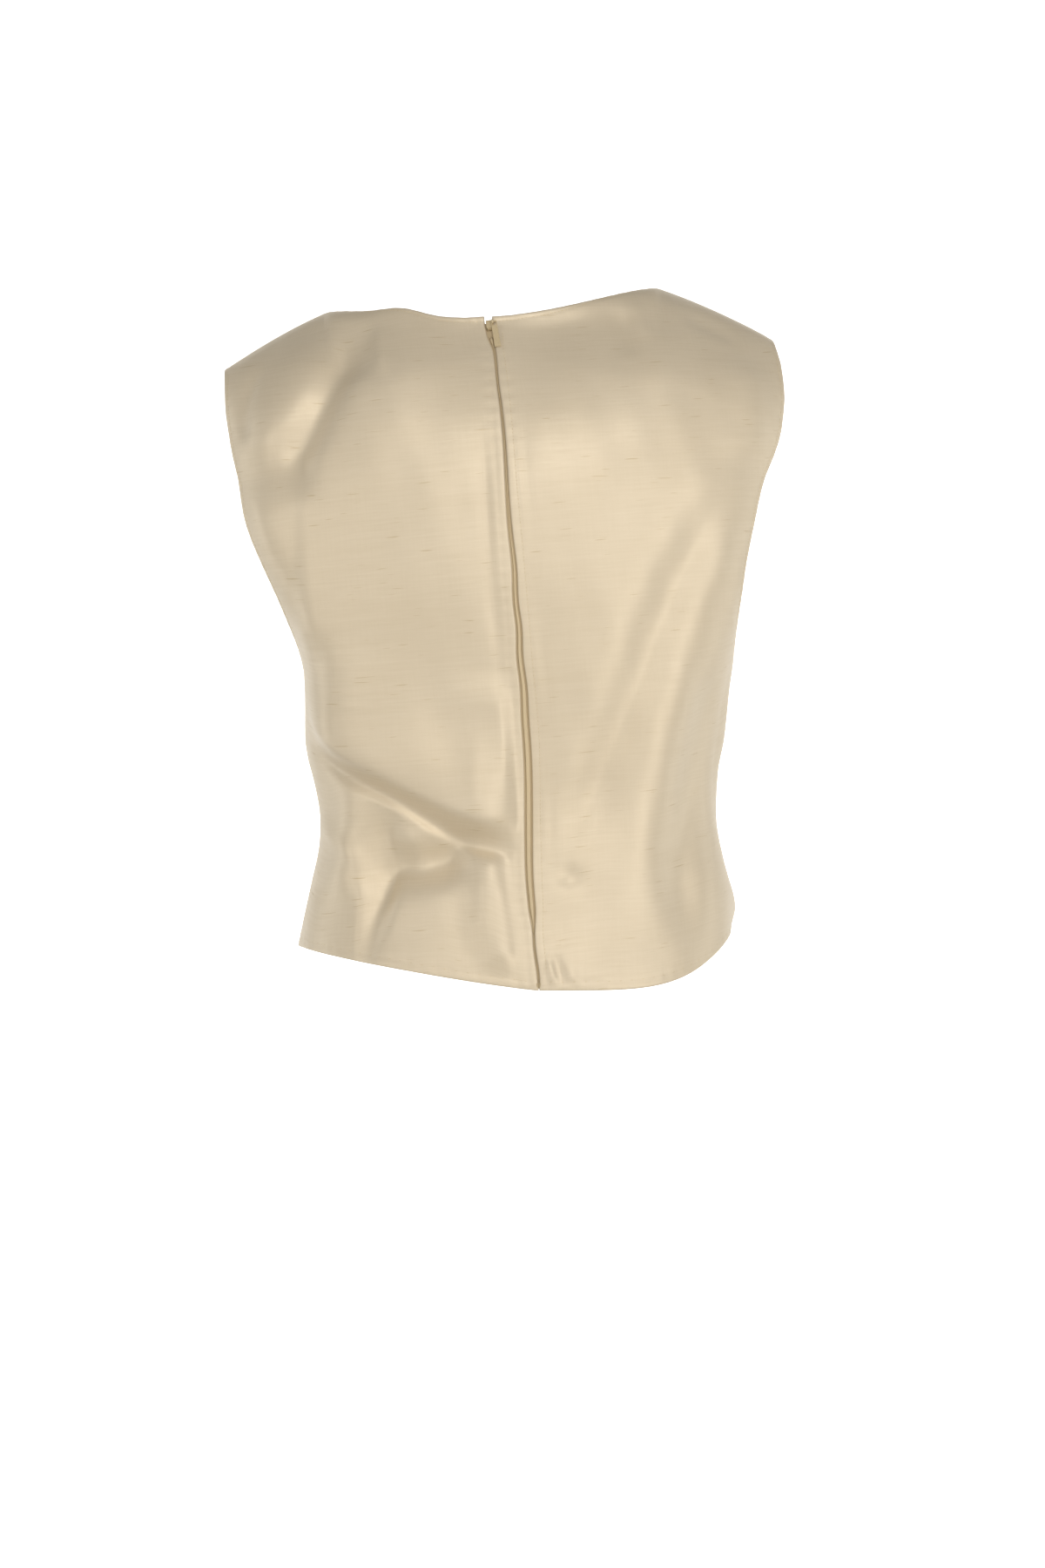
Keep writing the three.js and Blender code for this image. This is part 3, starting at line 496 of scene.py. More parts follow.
def half_panel(face, side):
    """One half of a panel as a grid: points, ways out, thickness, pattern coordinates, lengths walked.

    Distances from each edge are walked along the grid. They place the turned edges, which are two
    layers thick and round off over FOLD_RADIUS, the stitched grooves and the dips into seams.
    """
    place, fall = columns(face, side)[:, None], rows()[None, :]
    points = cloth(face, side, place, fall)
    out = way_out(cloth, face, side, place, fall)

    from_centre, from_top = travelled(points, 0), travelled(points, 1)
    from_side = from_centre[-1:] - from_centre
    from_hem = from_top[:, -1:] - from_top
    is_neck = place < neck_place(side) - SLIVER
    is_armhole = fall < UNDERARM - SLIVER
    edges = {
        "neck": np.where(is_neck, from_top, FAR),
        "armhole": np.where(is_armhole, from_side, FAR),
        "hem": from_hem,
        "zip": from_centre if face == "back" else np.full(from_centre.shape, FAR),
    }
    from_seam = np.minimum(np.where(is_neck, FAR, from_top), np.where(is_armhole, FAR, from_side))

    height = np.zeros(from_top.shape)
    thick = np.full(from_top.shape, CLOTH)
    for name, away in edges.items():
        turned = smooth((TURNING[name] + TURNING_EASE - away) / (2 * TURNING_EASE))
        thick = np.maximum(thick, mix(CLOTH, 2 * FOLD_RADIUS, turned))
        height -= GROOVE.deep * near(away - STITCH_AT[name], GROOVE.width)
        height += ROLL.high * near(away - STITCH_AT[name] * ROLL.at, STITCH_AT[name] * ROLL.width)
    # the stitches gather the cloth a little along each turned edge
    for (one, other), (high, wave, sway, over, at, width) in GATHERS.items():
        walked = from_centre if one == "neck" else from_top
        band = near(np.minimum(edges[one], edges[other]) - at, width)
        height += high * swaying(walked, wave, sway, over) * band
    # press marks where the zip's turnings lie under the cloth
    pressed = 0.5 + 0.5 * np.sin(from_top / PRESS_MARK.wave + PRESS_MARK.shift)
    height -= PRESS_MARK.deep * pressed * near(edges["zip"] - PRESS_MARK.at, PRESS_MARK.width)
    height -= 0.5 * SEAM_DIP * near(from_seam, SEAM_DIP_WIDTH)

    # near a free edge both layers close onto a round fold
    edge = np.minimum.reduce(list(edges.values()))
    inside = np.clip(1 - edge / FOLD_RADIUS, 0, 1)
    closed = 1 - np.sqrt(np.maximum(1 - inside**2, 0))
    outer = -closed * FOLD_RADIUS
    inner = -thick + closed * (thick - FOLD_RADIUS)

    points = points + out * height[..., None]
    wave = swaying(from_top, ZIP_WAVE.wave, ZIP_WAVE.sway, ZIP_WAVE.over)
    points[..., 0] += ZIP_WAVE.high * wave * near(edges["zip"], ZIP_WAVE.width)

    # on a shared seam both panels use one way out and stop half the gap short of the seam line
    row, column = fall[0], place[:, 0]
    top = column >= neck_place(side) - SLIVER
    low = row >= UNDERARM - SLIVER
    step = (1 if face == "back" else -1) * SEAM_GAP / 2
    seams = (
        ((top, 0), column[top], np.zeros(top.sum())),
        ((-1, low), np.ones(low.sum()), row[low]),
    )
    for chosen, p, f in seams:
        seam_out, back = seam_frame(side, p, f)
        out[chosen] = seam_out
        points[chosen] = bare(face, side, p, f) + back * step - seam_out * SEAM_DIP * 0.5

    # pattern coordinates in metres: across from the centre, and down from a level chest line
    lean = math.atan((CENTRE[-1][1] - CENTRE[0][1]) / (CENTRE[-1][0] - CENTRE[0][0]))
    level = points[..., 2] * math.cos(lean) + points[..., 0] * math.sin(lean)
    chest = np.abs(level - CHEST_Z).argmin(axis=1)[:, None]
    at_chest = np.take_along_axis(from_top, chest, 1) + np.take_along_axis(level, chest, 1) - CHEST_Z
    u = from_centre * WAY[side]
    v = at_chest - from_top
    uv = np.stack([u, v], -1) * MM
    return {
        "points": points, "out": out, "outer": outer, "inner": inner, "uv": uv,
        "from_top": from_top, "from_centre": from_centre,
    }


PANELS = {
    (face, side): half_panel(face, side) for face in ("back", "front") for side in ("left", "right")
}


def joined_front():
    """The front in one piece: the right half reversed, then the left half without its centre column."""
    right, left = PANELS[("front", "right")], PANELS[("front", "left")]
    keys = ("points", "out", "outer", "inner", "uv")
    return {key: np.concatenate([right[key][:0:-1], left[key]]) for key in keys}


# ---------- mesh making


def grid_quads(across, down, offset, flip):
    """Corner indices of every cell of an across by down grid, turned over where flip is set."""
    i = np.arange((across - 1) * (down - 1))
    a = (i // (down - 1)) * down + i % (down - 1) + offset
    quads = np.stack([a, a + 1, a + down + 1, a + down], -1)
    return quads[:, ::-1] if flip else quads


def border(across, down):
    """Indices once round the rim of a grid, in order."""
    return np.concatenate([
        np.arange(down - 1),
        np.arange(across - 1) * down + down - 1,
        (across - 1) * down + np.arange(down - 1, 0, -1),
        np.arange(across - 1, 0, -1) * down,
    ])


def new_mesh(name, points, faces, uv=None):
    """A smooth-shaded mesh object from an array of points in millimetres and a list of faces."""
    mesh = bpy.data.meshes.new(name)
    mesh.from_pydata((points * MM).tolist(), [], faces)
    mesh.polygons.foreach_set("use_smooth", np.ones(len(mesh.polygons), dtype=bool))
    if uv is not None:
        layer = mesh.uv_layers.new(name="cloth")
        corners = np.empty(len(mesh.loops), dtype=np.int64)
        mesh.loops.foreach_get("vertex_index", corners)
        layer.data.foreach_set("uv", np.asarray(uv)[corners].ravel())
    mesh.update()
    piece = bpy.data.objects.new(name, mesh)
    bpy.context.scene.collection.objects.link(piece)
    return piece


def shell(name, grid, flip):
    """A closed shell: the outer and the inner grid and a strip round their rim."""
    across, down = grid["points"].shape[:2]
    outer = grid["points"] + grid["out"] * grid["outer"][..., None]
    inner = grid["points"] + grid["out"] * grid["inner"][..., None]
    points = np.concatenate([outer.reshape(-1, 3), inner.reshape(-1, 3)])
    uv = np.concatenate([grid["uv"].reshape(-1, 2)] * 2)
    rim = border(across, down)
    after = np.roll(rim, -1)
    strip = np.stack([rim, rim + across * down, after + across * down, after], -1)
    faces = np.concatenate([
        grid_quads(across, down, 0, flip),
        grid_quads(across, down, across * down, not flip),
        strip[:, ::-1] if flip else strip,
    ])
    return new_mesh(name, points, faces.tolist(), uv)


# ---------- materials


def linear(hex_colour):
    """An sRGB hex colour as linear red, green, blue and alpha."""
    raw = [int(hex_colour[i:i + 2], 16) / 255 for i in (1, 3, 5)]
    return [c / 12.92 if c <= 0.04045 else ((c + 0.055) / 1.055) ** 2.4 for c in raw] + [1.0]


OUTPUT_IN_USE = {"Mix": "Result", "TexWave": "Fac", "TexCoord": "Object", "SeparateXYZ": "Y"}


def add(tree, kind, inputs=None, **settings):
    """One node. An input is a value or the output that feeds it. Gives back the node's own output."""
    made = tree.nodes.new("ShaderNode" + kind)
    for key, value in settings.items():
        setattr(made, key, value)
    for key, value in (inputs or {}).items():
        if isinstance(value, bpy.types.NodeSocket):
            tree.links.new(value, made.inputs[key])
        else:
            made.inputs[key].default_value = value
    return made.outputs[OUTPUT_IN_USE.get(kind, 0)] if made.outputs else None


def blend(tree, factor, first, second):
    """A mix of two colours. The first may be an output, and the others are sRGB."""
    first = linear(first) if isinstance(first, str) else first
    return add(tree, "Mix", {"Factor": factor, "A": first, "B": linear(second)}, data_type="RGBA")


def ranged(tree, value, before, after, **settings):
    """A value carried from one range over to another."""
    ends = dict(zip(("From Min", "From Max", "To Min", "To Max"), before + after))
    return add(tree, "MapRange", {"Value": value, **ends}, **settings)


def on_cloth(tree, across_mm, down_mm):
    """Places on the flat cloth, scaled so that one unit of a pattern is this many millimetres."""
    scale = (1000 / across_mm, 1000 / down_mm, 1)
    return add(tree, "Mapping", {"Vector": add(tree, "UVMap", uv_map="cloth"), "Scale": scale})


def speckle(tree, scale, detail):
    """Noise in the object's own space, with about `scale` spots to the metre."""
    return add(tree, "TexNoise", {"Vector": add(tree, "TexCoord"), "Scale": scale, "Detail": detail})


def bumps(tree, height, strength, distance):
    return add(tree, "Bump", {"Height": height, "Strength": strength, "Distance": distance})


def new_material(name):
    material = bpy.data.materials.new(name)
    material.use_nodes = True
    material.node_tree.nodes.clear()
    return material, material.node_tree


def set_surface(tree, inputs):
    add(tree, "OutputMaterial", {"Surface": add(tree, "BsdfPrincipled", inputs)})


def slubbed_silk(colour, shade, sheen):
    """Silk dupion: plain weave of even warp and slubbed weft, so it shows faint streaks along the weft.

    The yarns are about 0.25 mm apart. They are too fine to show, so the weave is drawn at 1.1 mm.
    Slubs are 1 to 2 mm high and 30 to 120 mm long. Filament silk gives a soft broad sheen.
    """
    material, tree = new_material("slubbed silk dupion")

    def streaks(across_mm, down_mm, detail, rough):
        place = on_cloth(tree, across_mm, down_mm)
        inputs = {"Vector": place, "Scale": 1.0, "Detail": detail, "Roughness": rough}
        return add(tree, "TexNoise", inputs, noise_dimensions="2D")

    def weighted(first, first_weight, second, second_weight):
        part = add(tree, "Math", {0: first, 1: first_weight}, operation="MULTIPLY")
        return add(tree, "Math", {0: second, 1: second_weight, 2: part}, operation="MULTIPLY_ADD")

    long_slub = streaks(70, 1.9, 3, 0.6)
    short_slub = streaks(16, 1.1, 2, 0.5)
    warp = streaks(1.3, 34, 2, 0.5)
    cloud = streaks(55, 48, 2, 0.45)
    rare = streaks(24, 1.6, 1, 0.5)
    rare_slub = ranged(tree, rare, (0.76, 0.84), (0.0, 0.8), clamp=True)
    yarn = weighted(long_slub, 0.5, short_slub, 0.3)
    yarn = weighted(yarn, 1.0, warp, 0.2)
    tone = weighted(yarn, 0.75, cloud, 0.25)
    base = blend(tree, ranged(tree, tone, (0.30, 0.70), (0.0, 1.0), clamp=True), shade, colour)
    relief = weighted(yarn, 1.0, rare_slub, 0.25)
    set_surface(tree, {
        "Base Color": blend(tree, rare_slub, base, "#c4b18d"),
        "Roughness": ranged(tree, yarn, (0.3, 0.7), (0.50, 0.43)),
        "Normal": bumps(tree, relief, 0.14, 0.0005),
        "Metallic": 0.25, "IOR": 1.45, "Specular IOR Level": 0.5,
        "Sheen Weight": sheen, "Sheen Roughness": 0.35, "Sheen Tint": linear("#fff6e4"),
    })
    return material


def woven_tape(colour):
    """Polyester zip tape: a tight twill 0.6 mm apart along its length, matt."""
    material, tree = new_material("woven zip tape")
    inputs = {"Vector": on_cloth(tree, 1.2, 1.2), "Scale": 1.0, "Distortion": 0.6, "Detail": 1.0}
    twill = add(tree, "TexWave", inputs, wave_type="BANDS", bands_direction="DIAGONAL")
    set_surface(tree, {
        "Base Color": blend(tree, twill, colour, "#c7b48e"), "Normal": bumps(tree, twill, 0.3, 0.0003),
        "Roughness": 0.75, "IOR": 1.5, "Specular IOR Level": 0.3,
    })
    return material


def spun_thread(colour):
    """Sewing thread: spun polyester, matt, with a twist 0.4 mm long that reads as a slight unevenness."""
    material, tree = new_material("spun sewing thread")
    set_surface(tree, {
        "Base Color": blend(tree, speckle(tree, 2500.0, 1.0), colour, "#d9c9a6"),
        "Roughness": 0.7, "IOR": 1.5, "Specular IOR Level": 0.3,
    })
    return material


def painted_zinc(colour):
    """Die-cast zinc with dyed-to-match stove paint: satin, with small worn spots scattered at random."""
    material, tree = new_material("stove-painted zinc")
    mottle = speckle(tree, 900.0, 2.0)
    worn = ranged(tree, mottle, (0.62, 0.75), (0.0, 0.5), clamp=True)
    set_surface(tree, {
        "Base Color": blend(tree, worn, colour, "#8c8068"), "Normal": bumps(tree, mottle, 0.12, 0.0002),
        "Roughness": 0.34, "IOR": 1.5, "Coat Weight": 0.25, "Coat Roughness": 0.25,
    })
    return material


def backlit_paper(colour):
    """Studio paper: plain and matt where it lies on the floor, and lit from behind where it stands.

    Its own light rises from none 1 m behind the top to almost white 2.3 m behind it.
    """
    material, tree = new_material("studio paper")
    depth = add(tree, "SeparateXYZ", {"Vector": add(tree, "TexCoord")})
    set_surface(tree, {
        "Base Color": blend(tree, speckle(tree, 900.0, 2.0), colour, "#e4e2de"),
        "Emission Strength": ranged(
            tree, depth, (-1.0, -2.3), (0.0, 0.95), interpolation_type="SMOOTHSTEP"),
        "Roughness": 0.95, "Specular IOR Level": 0.1, "Emission Color": (1, 1, 1, 1),
    })
    return material


MATERIALS = {}


def material_for(key, maker, *values):
    """Each material is made once and shared."""
    if key not in MATERIALS:
        MATERIALS[key] = maker(*values)
    return MATERIALS[key]


# ---------- settings


def colour_of(name, what, default):
    return StringProperty(name=name, description=f"sRGB colour of {what}", default=default)


class SilkTopSettings(bpy.types.PropertyGroup):
    silk_colour: colour_of("Silk", "the silk where it is lightest", "#dccfb7")
    silk_shade: colour_of("Silk shade", "its darker yarns", "#d5c7ad")
    silk_sheen: FloatProperty(
        name="Sheen", description="Weight of the soft sheen", default=0.12, min=0, max=1)
    tape_colour: colour_of("Zip tape", "the tape", "#dccbab")
    thread_colour: colour_of("Thread", "the sewing thread", "#c9b794")
    paint_colour: colour_of("Zip paint", "the slider and pull", "#c6b591")


class SilkTopStage(bpy.types.PropertyGroup):
    camera_at: FloatVectorProperty(
        name="Camera", description="Where the camera stands, level with the top's middle",
        default=(-0.02135, 3.0, -0.3379), subtype="XYZ", unit="LENGTH")
    view_height: FloatProperty(
        name="View height", description="Height of the picture at the shoulder seams' plane",
        default=1.098, unit="LENGTH")
    floor_level: FloatProperty(
        name="Floor", description="Level of the floor under a standing wearer's shoulders",
        default=-1.36, unit="LENGTH")
    paper_colour: colour_of("Paper", "the floor and backdrop", "#dcdad6")


# ---------- operators


BACK = (0, 0, -0.25)  # the middle of the top's back
SOFT_BOXES = (
    # name, at, aim, size across and up in metres, watts, colour
    ("front", (0, 3.4, 0.1), BACK, 2.2, 1.4, 16, "#fffaf4"),
    ("high", (-0.4, 2.9, 1.3), BACK, 2.0, 0.8, 28, "#fffaf4"),
    ("right", (-1.9, 2.3, -0.4), BACK, 1.2, 1.6, 22, "#fffaf4"),
    ("left", (2.0, 2.2, -0.3), BACK, 1.2, 1.6, 12, "#fffaf4"),
    ("side_right", (-2.2, -0.3, -0.3), (-0.15, 0, -0.3), 0.8, 1.8, 7, "#ffffff"),
    ("side_left", (2.2, -0.3, -0.3), (0.15, 0, -0.3), 0.8, 1.8, 9, "#ffffff"),
)
ROOM_LIGHT = 0.24
SWEEP = SimpleNamespace(radius=0.9, steps=24, wall_y=-4.6, front_y=6.0, top_z=3.6, half=6.0)


class CameraAndStage(bpy.types.Operator):
    """Camera at the back, level with the top, with a pale floor that curves up behind and soft lights"""

    bl_idname = "silk_top.stage"
    bl_label = "Camera, paper and lights"

    def execute(self, context):
        stage = context.scene.silk_top_stage
        self.place_camera(context.scene, stage)
        self.hang_paper(stage)
        self.set_lights(context.scene)
        context.scene.view_settings.view_transform = "Standard"
        return {"FINISHED"}

    def place_camera(self, scene, stage):
        """A level camera that looks along -Y. Its lens makes the picture's height fit view_height."""
        data = bpy.data.cameras.new("camera")
        data.sensor_fit, data.sensor_width = "AUTO", 36.0
        data.lens = data.sensor_width * stage.camera_at[1] / stage.view_height
        camera = bpy.data.objects.new("camera", data)
        camera.location = stage.camera_at
        camera.rotation_euler = (math.pi / 2, 0, math.pi)
        scene.collection.objects.link(camera)
        scene.camera = camera

    def hang_paper(self, stage):
        """A sweep: a floor, a quarter circle and a wall, carried across."""
        radius, floor, wall_y = SWEEP.radius, stage.floor_level, SWEEP.wall_y
        turn = np.linspace(0, math.pi / 2, SWEEP.steps)
        y = np.concatenate([[SWEEP.front_y], wall_y + radius - radius * np.sin(turn), [wall_y]])
        z = np.concatenate([[floor], floor + radius - radius * np.cos(turn), [SWEEP.top_z]])
        profile = np.stack([y, z], -1)
        points = np.concatenate([
            np.column_stack([np.full(len(profile), x), profile]) for x in (-SWEEP.half, SWEEP.half)
        ]) / MM
        paper = new_mesh("paper_sweep", points, grid_quads(2, len(profile), 0, True).tolist())
        paper.data.materials.append(material_for("paper", backlit_paper, stage.paper_colour))

    def set_lights(self, scene):
        """Four soft boxes on the camera's side, one at each side of the top, and a dim white room."""
        for name, at, aim, across, up, watts, colour in SOFT_BOXES:
            data = bpy.data.lights.new(name, "AREA")
            data.shape, data.size, data.size_y = "RECTANGLE", across, up
            data.energy, data.color = watts, linear(colour)[:3]
            lamp = bpy.data.objects.new(name, data)
            lamp.location = at
            lamp.rotation_euler = (Vector(aim) - Vector(at)).to_track_quat("-Z", "Y").to_euler()
            scene.collection.objects.link(lamp)
        world = bpy.data.worlds.new("soft white room")
        world.use_nodes = True
        world.node_tree.nodes["Background"].inputs["Color"].default_value = (1, 1, 1, 1)
        world.node_tree.nodes["Background"].inputs["Strength"].default_value = ROOM_LIGHT
        scene.world = world


BODY = "top"


def silk(context):
    chosen = context.scene.silk_top
    return material_for("silk", slubbed_silk, chosen.silk_colour, chosen.silk_shade, chosen.silk_sheen)


class BackPanels(bpy.types.Operator):
    """The two halves of the back, with folded edges at the zip"""

    bl_idname = "silk_top.back"
    bl_label = "Back panels"

    def execute(self, context):
        for side, cut in (("left", (0.235, 0.505)), ("right", (0.235, 0.515))):
            grid = PANELS[("back", side)]
            piece = shell(f"back_{side}_silk", grid, flip=side == "left")
            piece.data.materials.append(silk(context))
            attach(piece, BODY)
            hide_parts(f"back_{side}")
        return {"FINISHED"}


class FrontPanel(bpy.types.Operator):
    """The front, cut in one piece"""

    bl_idname = "silk_top.front"
    bl_label = "Front panel"

    def execute(self, context):
        grid = joined_front()
        piece = shell("front_silk", grid, flip=False)
        piece.data.materials.append(silk(context))
        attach(piece, BODY)
        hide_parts("front")
        return {"FINISHED"}


def zip_line(top, foot):
    """Points, ways out and ways across down the zip's middle between two levels, and their rows."""
    left, right = PANELS[("back", "left")], PANELS[("back", "right")]
    points = (left["points"][0] + right["points"][0]) / 2
    out = unit(left["out"][0] + right["out"][0])
    rows_in = (points[:, 2] < top) & (points[:, 2] > foot)
    points, out = points[rows_in], out[rows_in]
    across = unit(np.cross(out, unit(np.gradient(points, axis=0))))
    return points, out, across * np.sign(across[:, :1]), rows_in


class Zip(bpy.types.Operator):
    """The tape behind the opening, its closed chain, and the painted slider and pull tab"""

    bl_idname = "silk_top.zip"
    bl_label = "Zip"

    def execute(self, context):
        chosen = context.scene.silk_top
        tape, tape_length = self.make_tape()
        tape.data.materials.append(material_for("tape", woven_tape, chosen.tape_colour))
        chain = self.make_chain()
        chain.data.materials.append(material_for("tape", woven_tape, chosen.tape_colour))
        for piece in (tape, chain):
            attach(piece, BODY)
        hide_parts("zip_tape")
        paint = material_for("paint", painted_zinc, chosen.paint_colour)
        for node in ("zip_slider", "zip_pull"):
            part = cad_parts[node]
            part.data.materials.clear()
            part.data.materials.append(paint)
        return {"FINISHED"}

    def make_tape(self):
        """A strip behind the zip, and its length. Past its middle it keeps to the inside of the cloth.

        At each place across, the spot is found on the panel's grid by the length walked from the
        fold, and near the middle it passes over into a straight line across the zip.
        """
        points, out, across, rows_in = zip_line(TAPE.top, TAPE.foot)
        line = np.arange(len(points))
        strips = []
        for way in np.linspace(-1, 1, TAPE.columns) * TAPE.half:
            panel = PANELS[("back", "left" if way > 0 else "right")]
            walked, spots = panel["from_centre"][:, rows_in], panel["points"][:, rows_in]
            reach = max(abs(way) - TAPE_BEND.slack, 0)
            index = np.clip((walked < reach).sum(0), 1, len(walked) - 1)
            low, high = walked[index - 1, line], walked[index, line]
            t = ((reach - low) / np.maximum(high - low, 1e-9))[:, None]
            spot = mix(spots[index - 1, line], spots[index, line], t)
            weight = smooth((abs(way) - TAPE_BEND.start) / TAPE_BEND.over)
            strips.append((
                mix(points + across * way, spot, weight),
                unit(mix(out, panel["out"][:, rows_in][index, line], weight)),
            ))
        grid_points = np.stack([strip[0] for strip in strips])
        grid_out = np.stack([strip[1] for strip in strips])
        behind = np.full(grid_points.shape[:2], -(2 * FOLD_RADIUS + TAPE.behind))
        walked = travelled(grid_points, 1)
        grid = {
            "points": grid_points, "out": grid_out, "outer": behind, "inner": behind - TAPE.thick,
            "uv": np.stack(np.broadcast_arrays(travelled(grid_points, 0), walked), -1) * MM,
        }
        return shell("zip_tape_cloth", grid, flip=True), float(walked[TAPE.columns // 2, -1])

    def make_chain(self):
        """The closed chain seen from outside: the tapes' edges rolled over it, as one flat-topped strip.

        Its crown is the square root of 1 less the sixth power of the share of the way out.
        """
        points, out, across, _ = zip_line(CHAIN.top, CHAIN.foot)
        half = np.clip(MIDDLE["gap"](points[:, 2]) - CHAIN.clear, CHAIN.thinnest, CHAIN.half)
        share = np.linspace(-1, 1, CHAIN.columns)[:, None]
        crown = (1 - share**6) ** 0.5
        base = -(2 * FOLD_RADIUS + TAPE.behind + CHAIN.behind)
        rise = crown * np.minimum(half + CHAIN.past_half, CHAIN.high)
        walked = travelled(points, 0)
        tooth = CHAIN.tooth * np.sin(2 * math.pi * walked / CHAIN.pitch) * crown
        grid_points = points + across * (share * half)[..., None]
        grid = {
            "points": grid_points, "out": np.broadcast_to(out, grid_points.shape),
            "outer": base + rise + tooth, "inner": np.full(rise.shape, base - CHAIN.thick),
            "uv": np.stack(np.broadcast_arrays(share * half, walked), -1) * MM,
        }
        return shell("zip_chain", grid, flip=True)


def stitch_path(panel, edge_name):
    """Points and ways out along a stitch row, at its distance in from an edge of a half panel."""
    from_top, from_centre = panel["from_top"], panel["from_centre"]
    away, axis = {
        "neck": (from_top, 1),
        "hem": (from_top[:, -1:] - from_top, 1),
        "armhole": (from_centre[-1:] - from_centre, 0),
        "zip": (from_centre, 0),
    }[edge_name]
    points, out = panel["points"], panel["out"]
    if edge_name in ("hem", "armhole"):
        away, points, out = (np.flip(grid, axis) for grid in (away, points, out))
    index = np.clip((away < STITCH_AT[edge_name]).sum(axis), 1, away.shape[axis] - 1)
    lines = np.arange(index.size)
    before = (lines, index - 1) if axis == 1 else (index - 1, lines)
    after = (lines, index) if axis == 1 else (index, lines)
    t = (STITCH_AT[edge_name] - away[before]) / np.maximum(away[after] - away[before], 1e-9)
    t = t[:, None]
    return mix(points[before], points[after], t), unit(mix(out[before], out[after], t))


def along(line, walked, at):
    """Rows of a line of vectors at the given lengths walked along it."""
    return np.stack([np.interp(at, walked, line[:, k]) for k in range(3)], -1)


def stitches(name, paths, pitch):
    """Short lockstitches along paths: a capsule for each, laid by arrays and joined in one mesh.

    A capsule is a row of rings whose radius is the square root of 1 less the fourth power of the
    share of the way to its end. Its middle sits just above the cloth and its ends dip into it.
    """
    ring, steps = STITCH.sides, np.linspace(-1, 1, STITCH.rings)
    turn = np.arange(ring) * 2 * math.pi / ring
    profile = np.sqrt(np.maximum(1 - np.abs(steps) ** 4, 0.02))
    template = np.stack(np.broadcast_arrays(
        steps[:, None] * STITCH.length / 2,
        profile[:, None] * np.cos(turn) * STITCH.radius,
        profile[:, None] * np.sin(turn) * STITCH.radius - (steps[:, None] ** 2) * STITCH.dive,
    ), -1).reshape(-1, 3)
    a = np.arange((len(steps) - 1) * ring)
    b = (a // ring) * ring + (a + 1) % ring
    side_faces = np.stack([a, b, b + ring, a + ring], -1)
    centres, frames = [], []
    for points, out in paths:
        walked = travelled(points, 0)
        at = np.arange(pitch, walked[-1] - pitch / 2, pitch)
        spot, up = along(points, walked, at), unit(along(out, walked, at))
        ahead = unit(along(points, walked, at + 0.5) - spot)
        aside = unit(np.cross(up, ahead))
        centres.append(spot + up * STITCH.lift)
        frames.append(np.stack([ahead, aside, np.cross(ahead, aside)], 1))
    centres, frames = np.concatenate(centres), np.concatenate(frames)
    points = np.einsum("vi,nij->nvj", template, frames) + centres[:, None]
    count, size = points.shape[:2]
    shift = (np.arange(count) * size)[:, None]
    sides = (side_faces[None] + shift[..., None]).reshape(-1, 4).tolist()
    first = (np.arange(ring)[::-1] + shift).tolist()
    last = (np.arange(size - ring, size) + shift).tolist()
    return new_mesh(name, points.reshape(-1, 3), sides + first + last)


class Topstitching(bpy.types.Operator):
    """Rows of stitches that hold the turned edges at the neck, armholes, hem and zip"""

    bl_idname = "silk_top.stitches"
    bl_label = "Topstitching"

    def execute(self, context):
        thread = material_for("thread", spun_thread, context.scene.silk_top.thread_colour)
        for edge_name in ("neck", "armhole", "hem", "zip"):
            paths = []
            for (face, side), panel in PANELS.items():
                if edge_name == "zip" and (face, side) != ("back", "right"):
                    continue
                points, out = stitch_path(panel, edge_name)
                keep = self.kept(edge_name, face, side, points)
                paths.append((points[keep], out[keep]))
            piece = stitches(f"{edge_name}_stitches", paths, STITCH_PITCH[edge_name])
            piece.data.materials.append(thread)
            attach(piece, BODY)
        return {"FINISHED"}

    def kept(self, edge_name, face, side, points):
        """Which of a path's points carry stitches: the row stops at the seams and at the zip's foot."""
        if edge_name == "neck":
            return columns(face, side) < neck_place(side) - STITCH_ENDS.seam
        if edge_name == "armhole":
            falls = rows()
            return (falls < UNDERARM - STITCH_ENDS.seam) & (falls > STITCH_ENDS.shoulder)
        if edge_name == "zip":
            top, foot = STITCH_ENDS.zip
            return (points[:, 2] < top) & (points[:, 2] > foot)
        return np.arange(len(points)) < len(points) - STITCH_ENDS.hem_columns


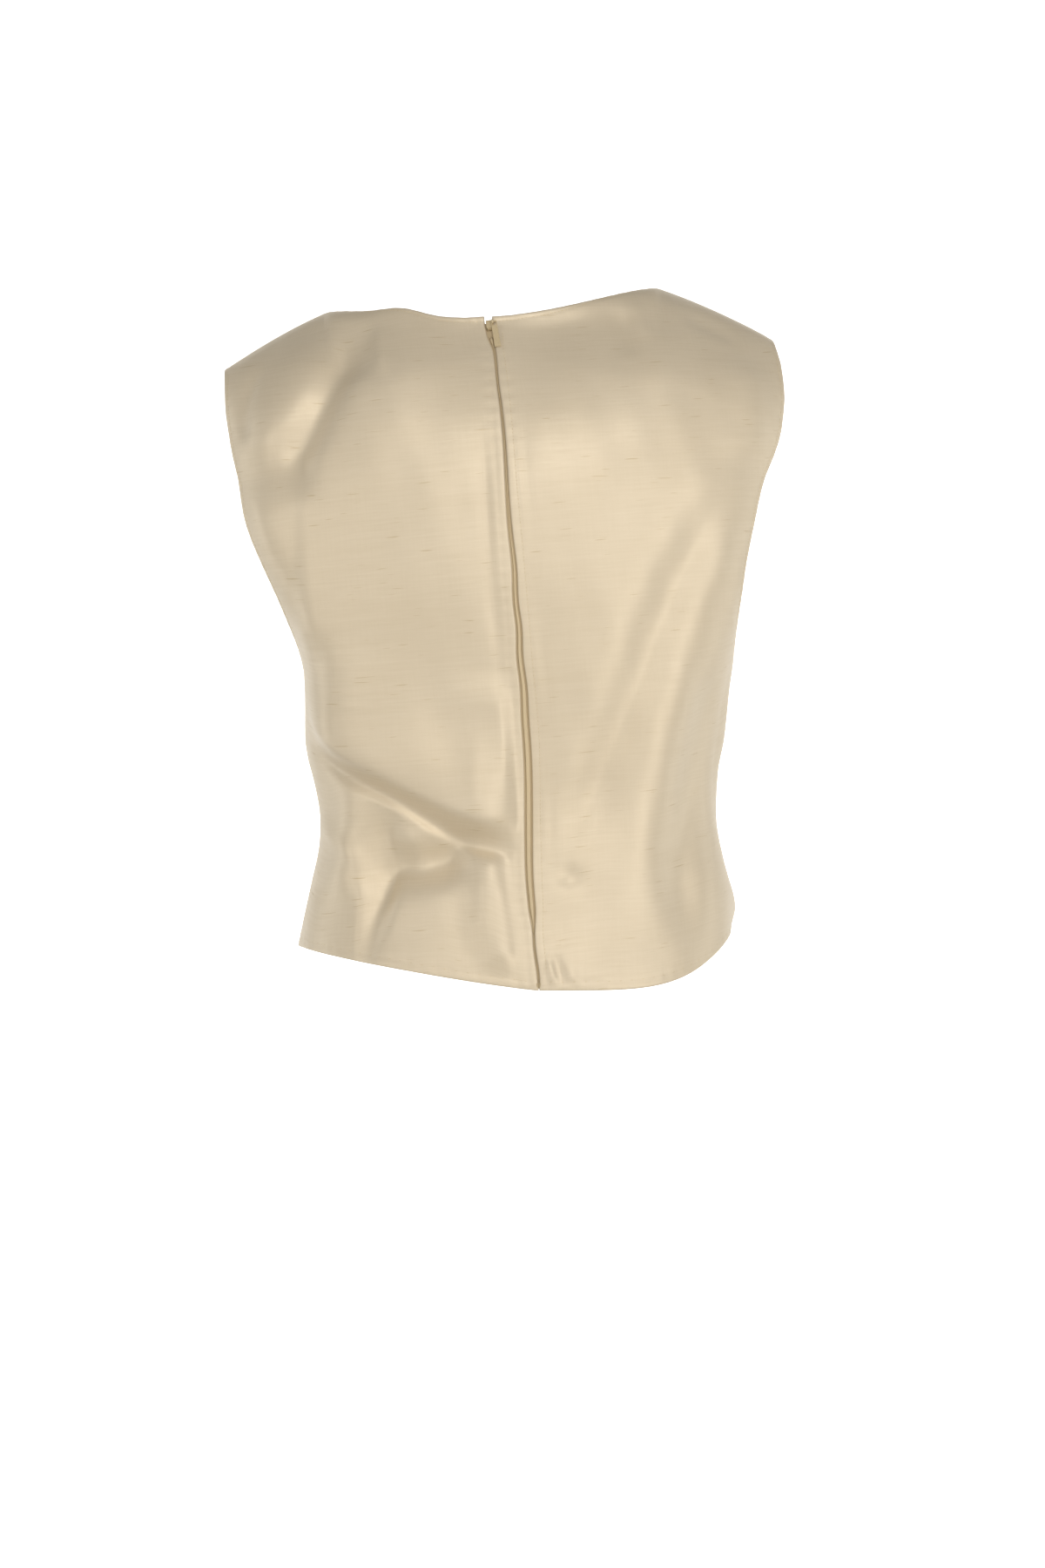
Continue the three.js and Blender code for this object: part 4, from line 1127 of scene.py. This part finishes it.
class BarTack(bpy.types.Operator):
    """The short bar of close stitches across the foot of the zip's opening"""

    bl_idname = "silk_top.bar_tack"
    bl_label = "Bar tack"

    def execute(self, context):
        points, out, *_ = zip_line(TAPE.top, TAPE.foot)
        foot = int(np.abs(points[:, 2] - BAR_TACK.z).argmin())
        middle, up = points[foot], out[foot]
        paths = []
        for drop in BAR_TACK_DROPS:
            x = np.linspace(-BAR_TACK.half, BAR_TACK.half, BAR_TACK.points)
            spots = middle + np.stack([x, 0 * x, 0 * x - drop], -1) + up * BAR_TACK.lift
            paths.append((spots, np.broadcast_to(up, spots.shape)))
        piece = stitches("zip_bar_tack", paths, BAR_TACK.pitch)
        thread = material_for("thread", spun_thread, context.scene.silk_top.thread_colour)
        piece.data.materials.append(thread)
        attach(piece, BODY)
        return {"FINISHED"}


class SilkTopPanel(bpy.types.Panel):
    """Lists the settings and the steps that build the top"""

    bl_idname = "VIEW3D_PT_silk_top"
    bl_label = "Silk top"
    bl_space_type = "VIEW_3D"
    bl_region_type = "UI"
    bl_category = "Silk top"

    def draw(self, context):
        for group in (context.scene.silk_top, context.scene.silk_top_stage):
            for name in group.bl_rna.properties.keys():
                if name not in ("rna_type", "name"):
                    self.layout.prop(group, name)
        for step in STEPS:
            self.layout.operator(step.bl_idname)


STEPS = (CameraAndStage, BackPanels, FrontPanel, Zip, Topstitching, BarTack)
CLASSES = (SilkTopSettings, SilkTopStage, *STEPS, SilkTopPanel)


def register():
    for made in CLASSES:
        bpy.utils.register_class(made)
    bpy.types.Scene.silk_top = PointerProperty(type=SilkTopSettings)
    bpy.types.Scene.silk_top_stage = PointerProperty(type=SilkTopStage)


def unregister():
    del bpy.types.Scene.silk_top_stage
    del bpy.types.Scene.silk_top
    for made in reversed(CLASSES):
        bpy.utils.unregister_class(made)


def main():
    register()
    bpy.ops.silk_top.stage()
    bpy.ops.silk_top.back()
    bpy.ops.silk_top.front()
    bpy.ops.silk_top.zip()
    bpy.ops.silk_top.stitches()
    bpy.ops.silk_top.bar_tack()


if __name__ == "__main__":
    main()
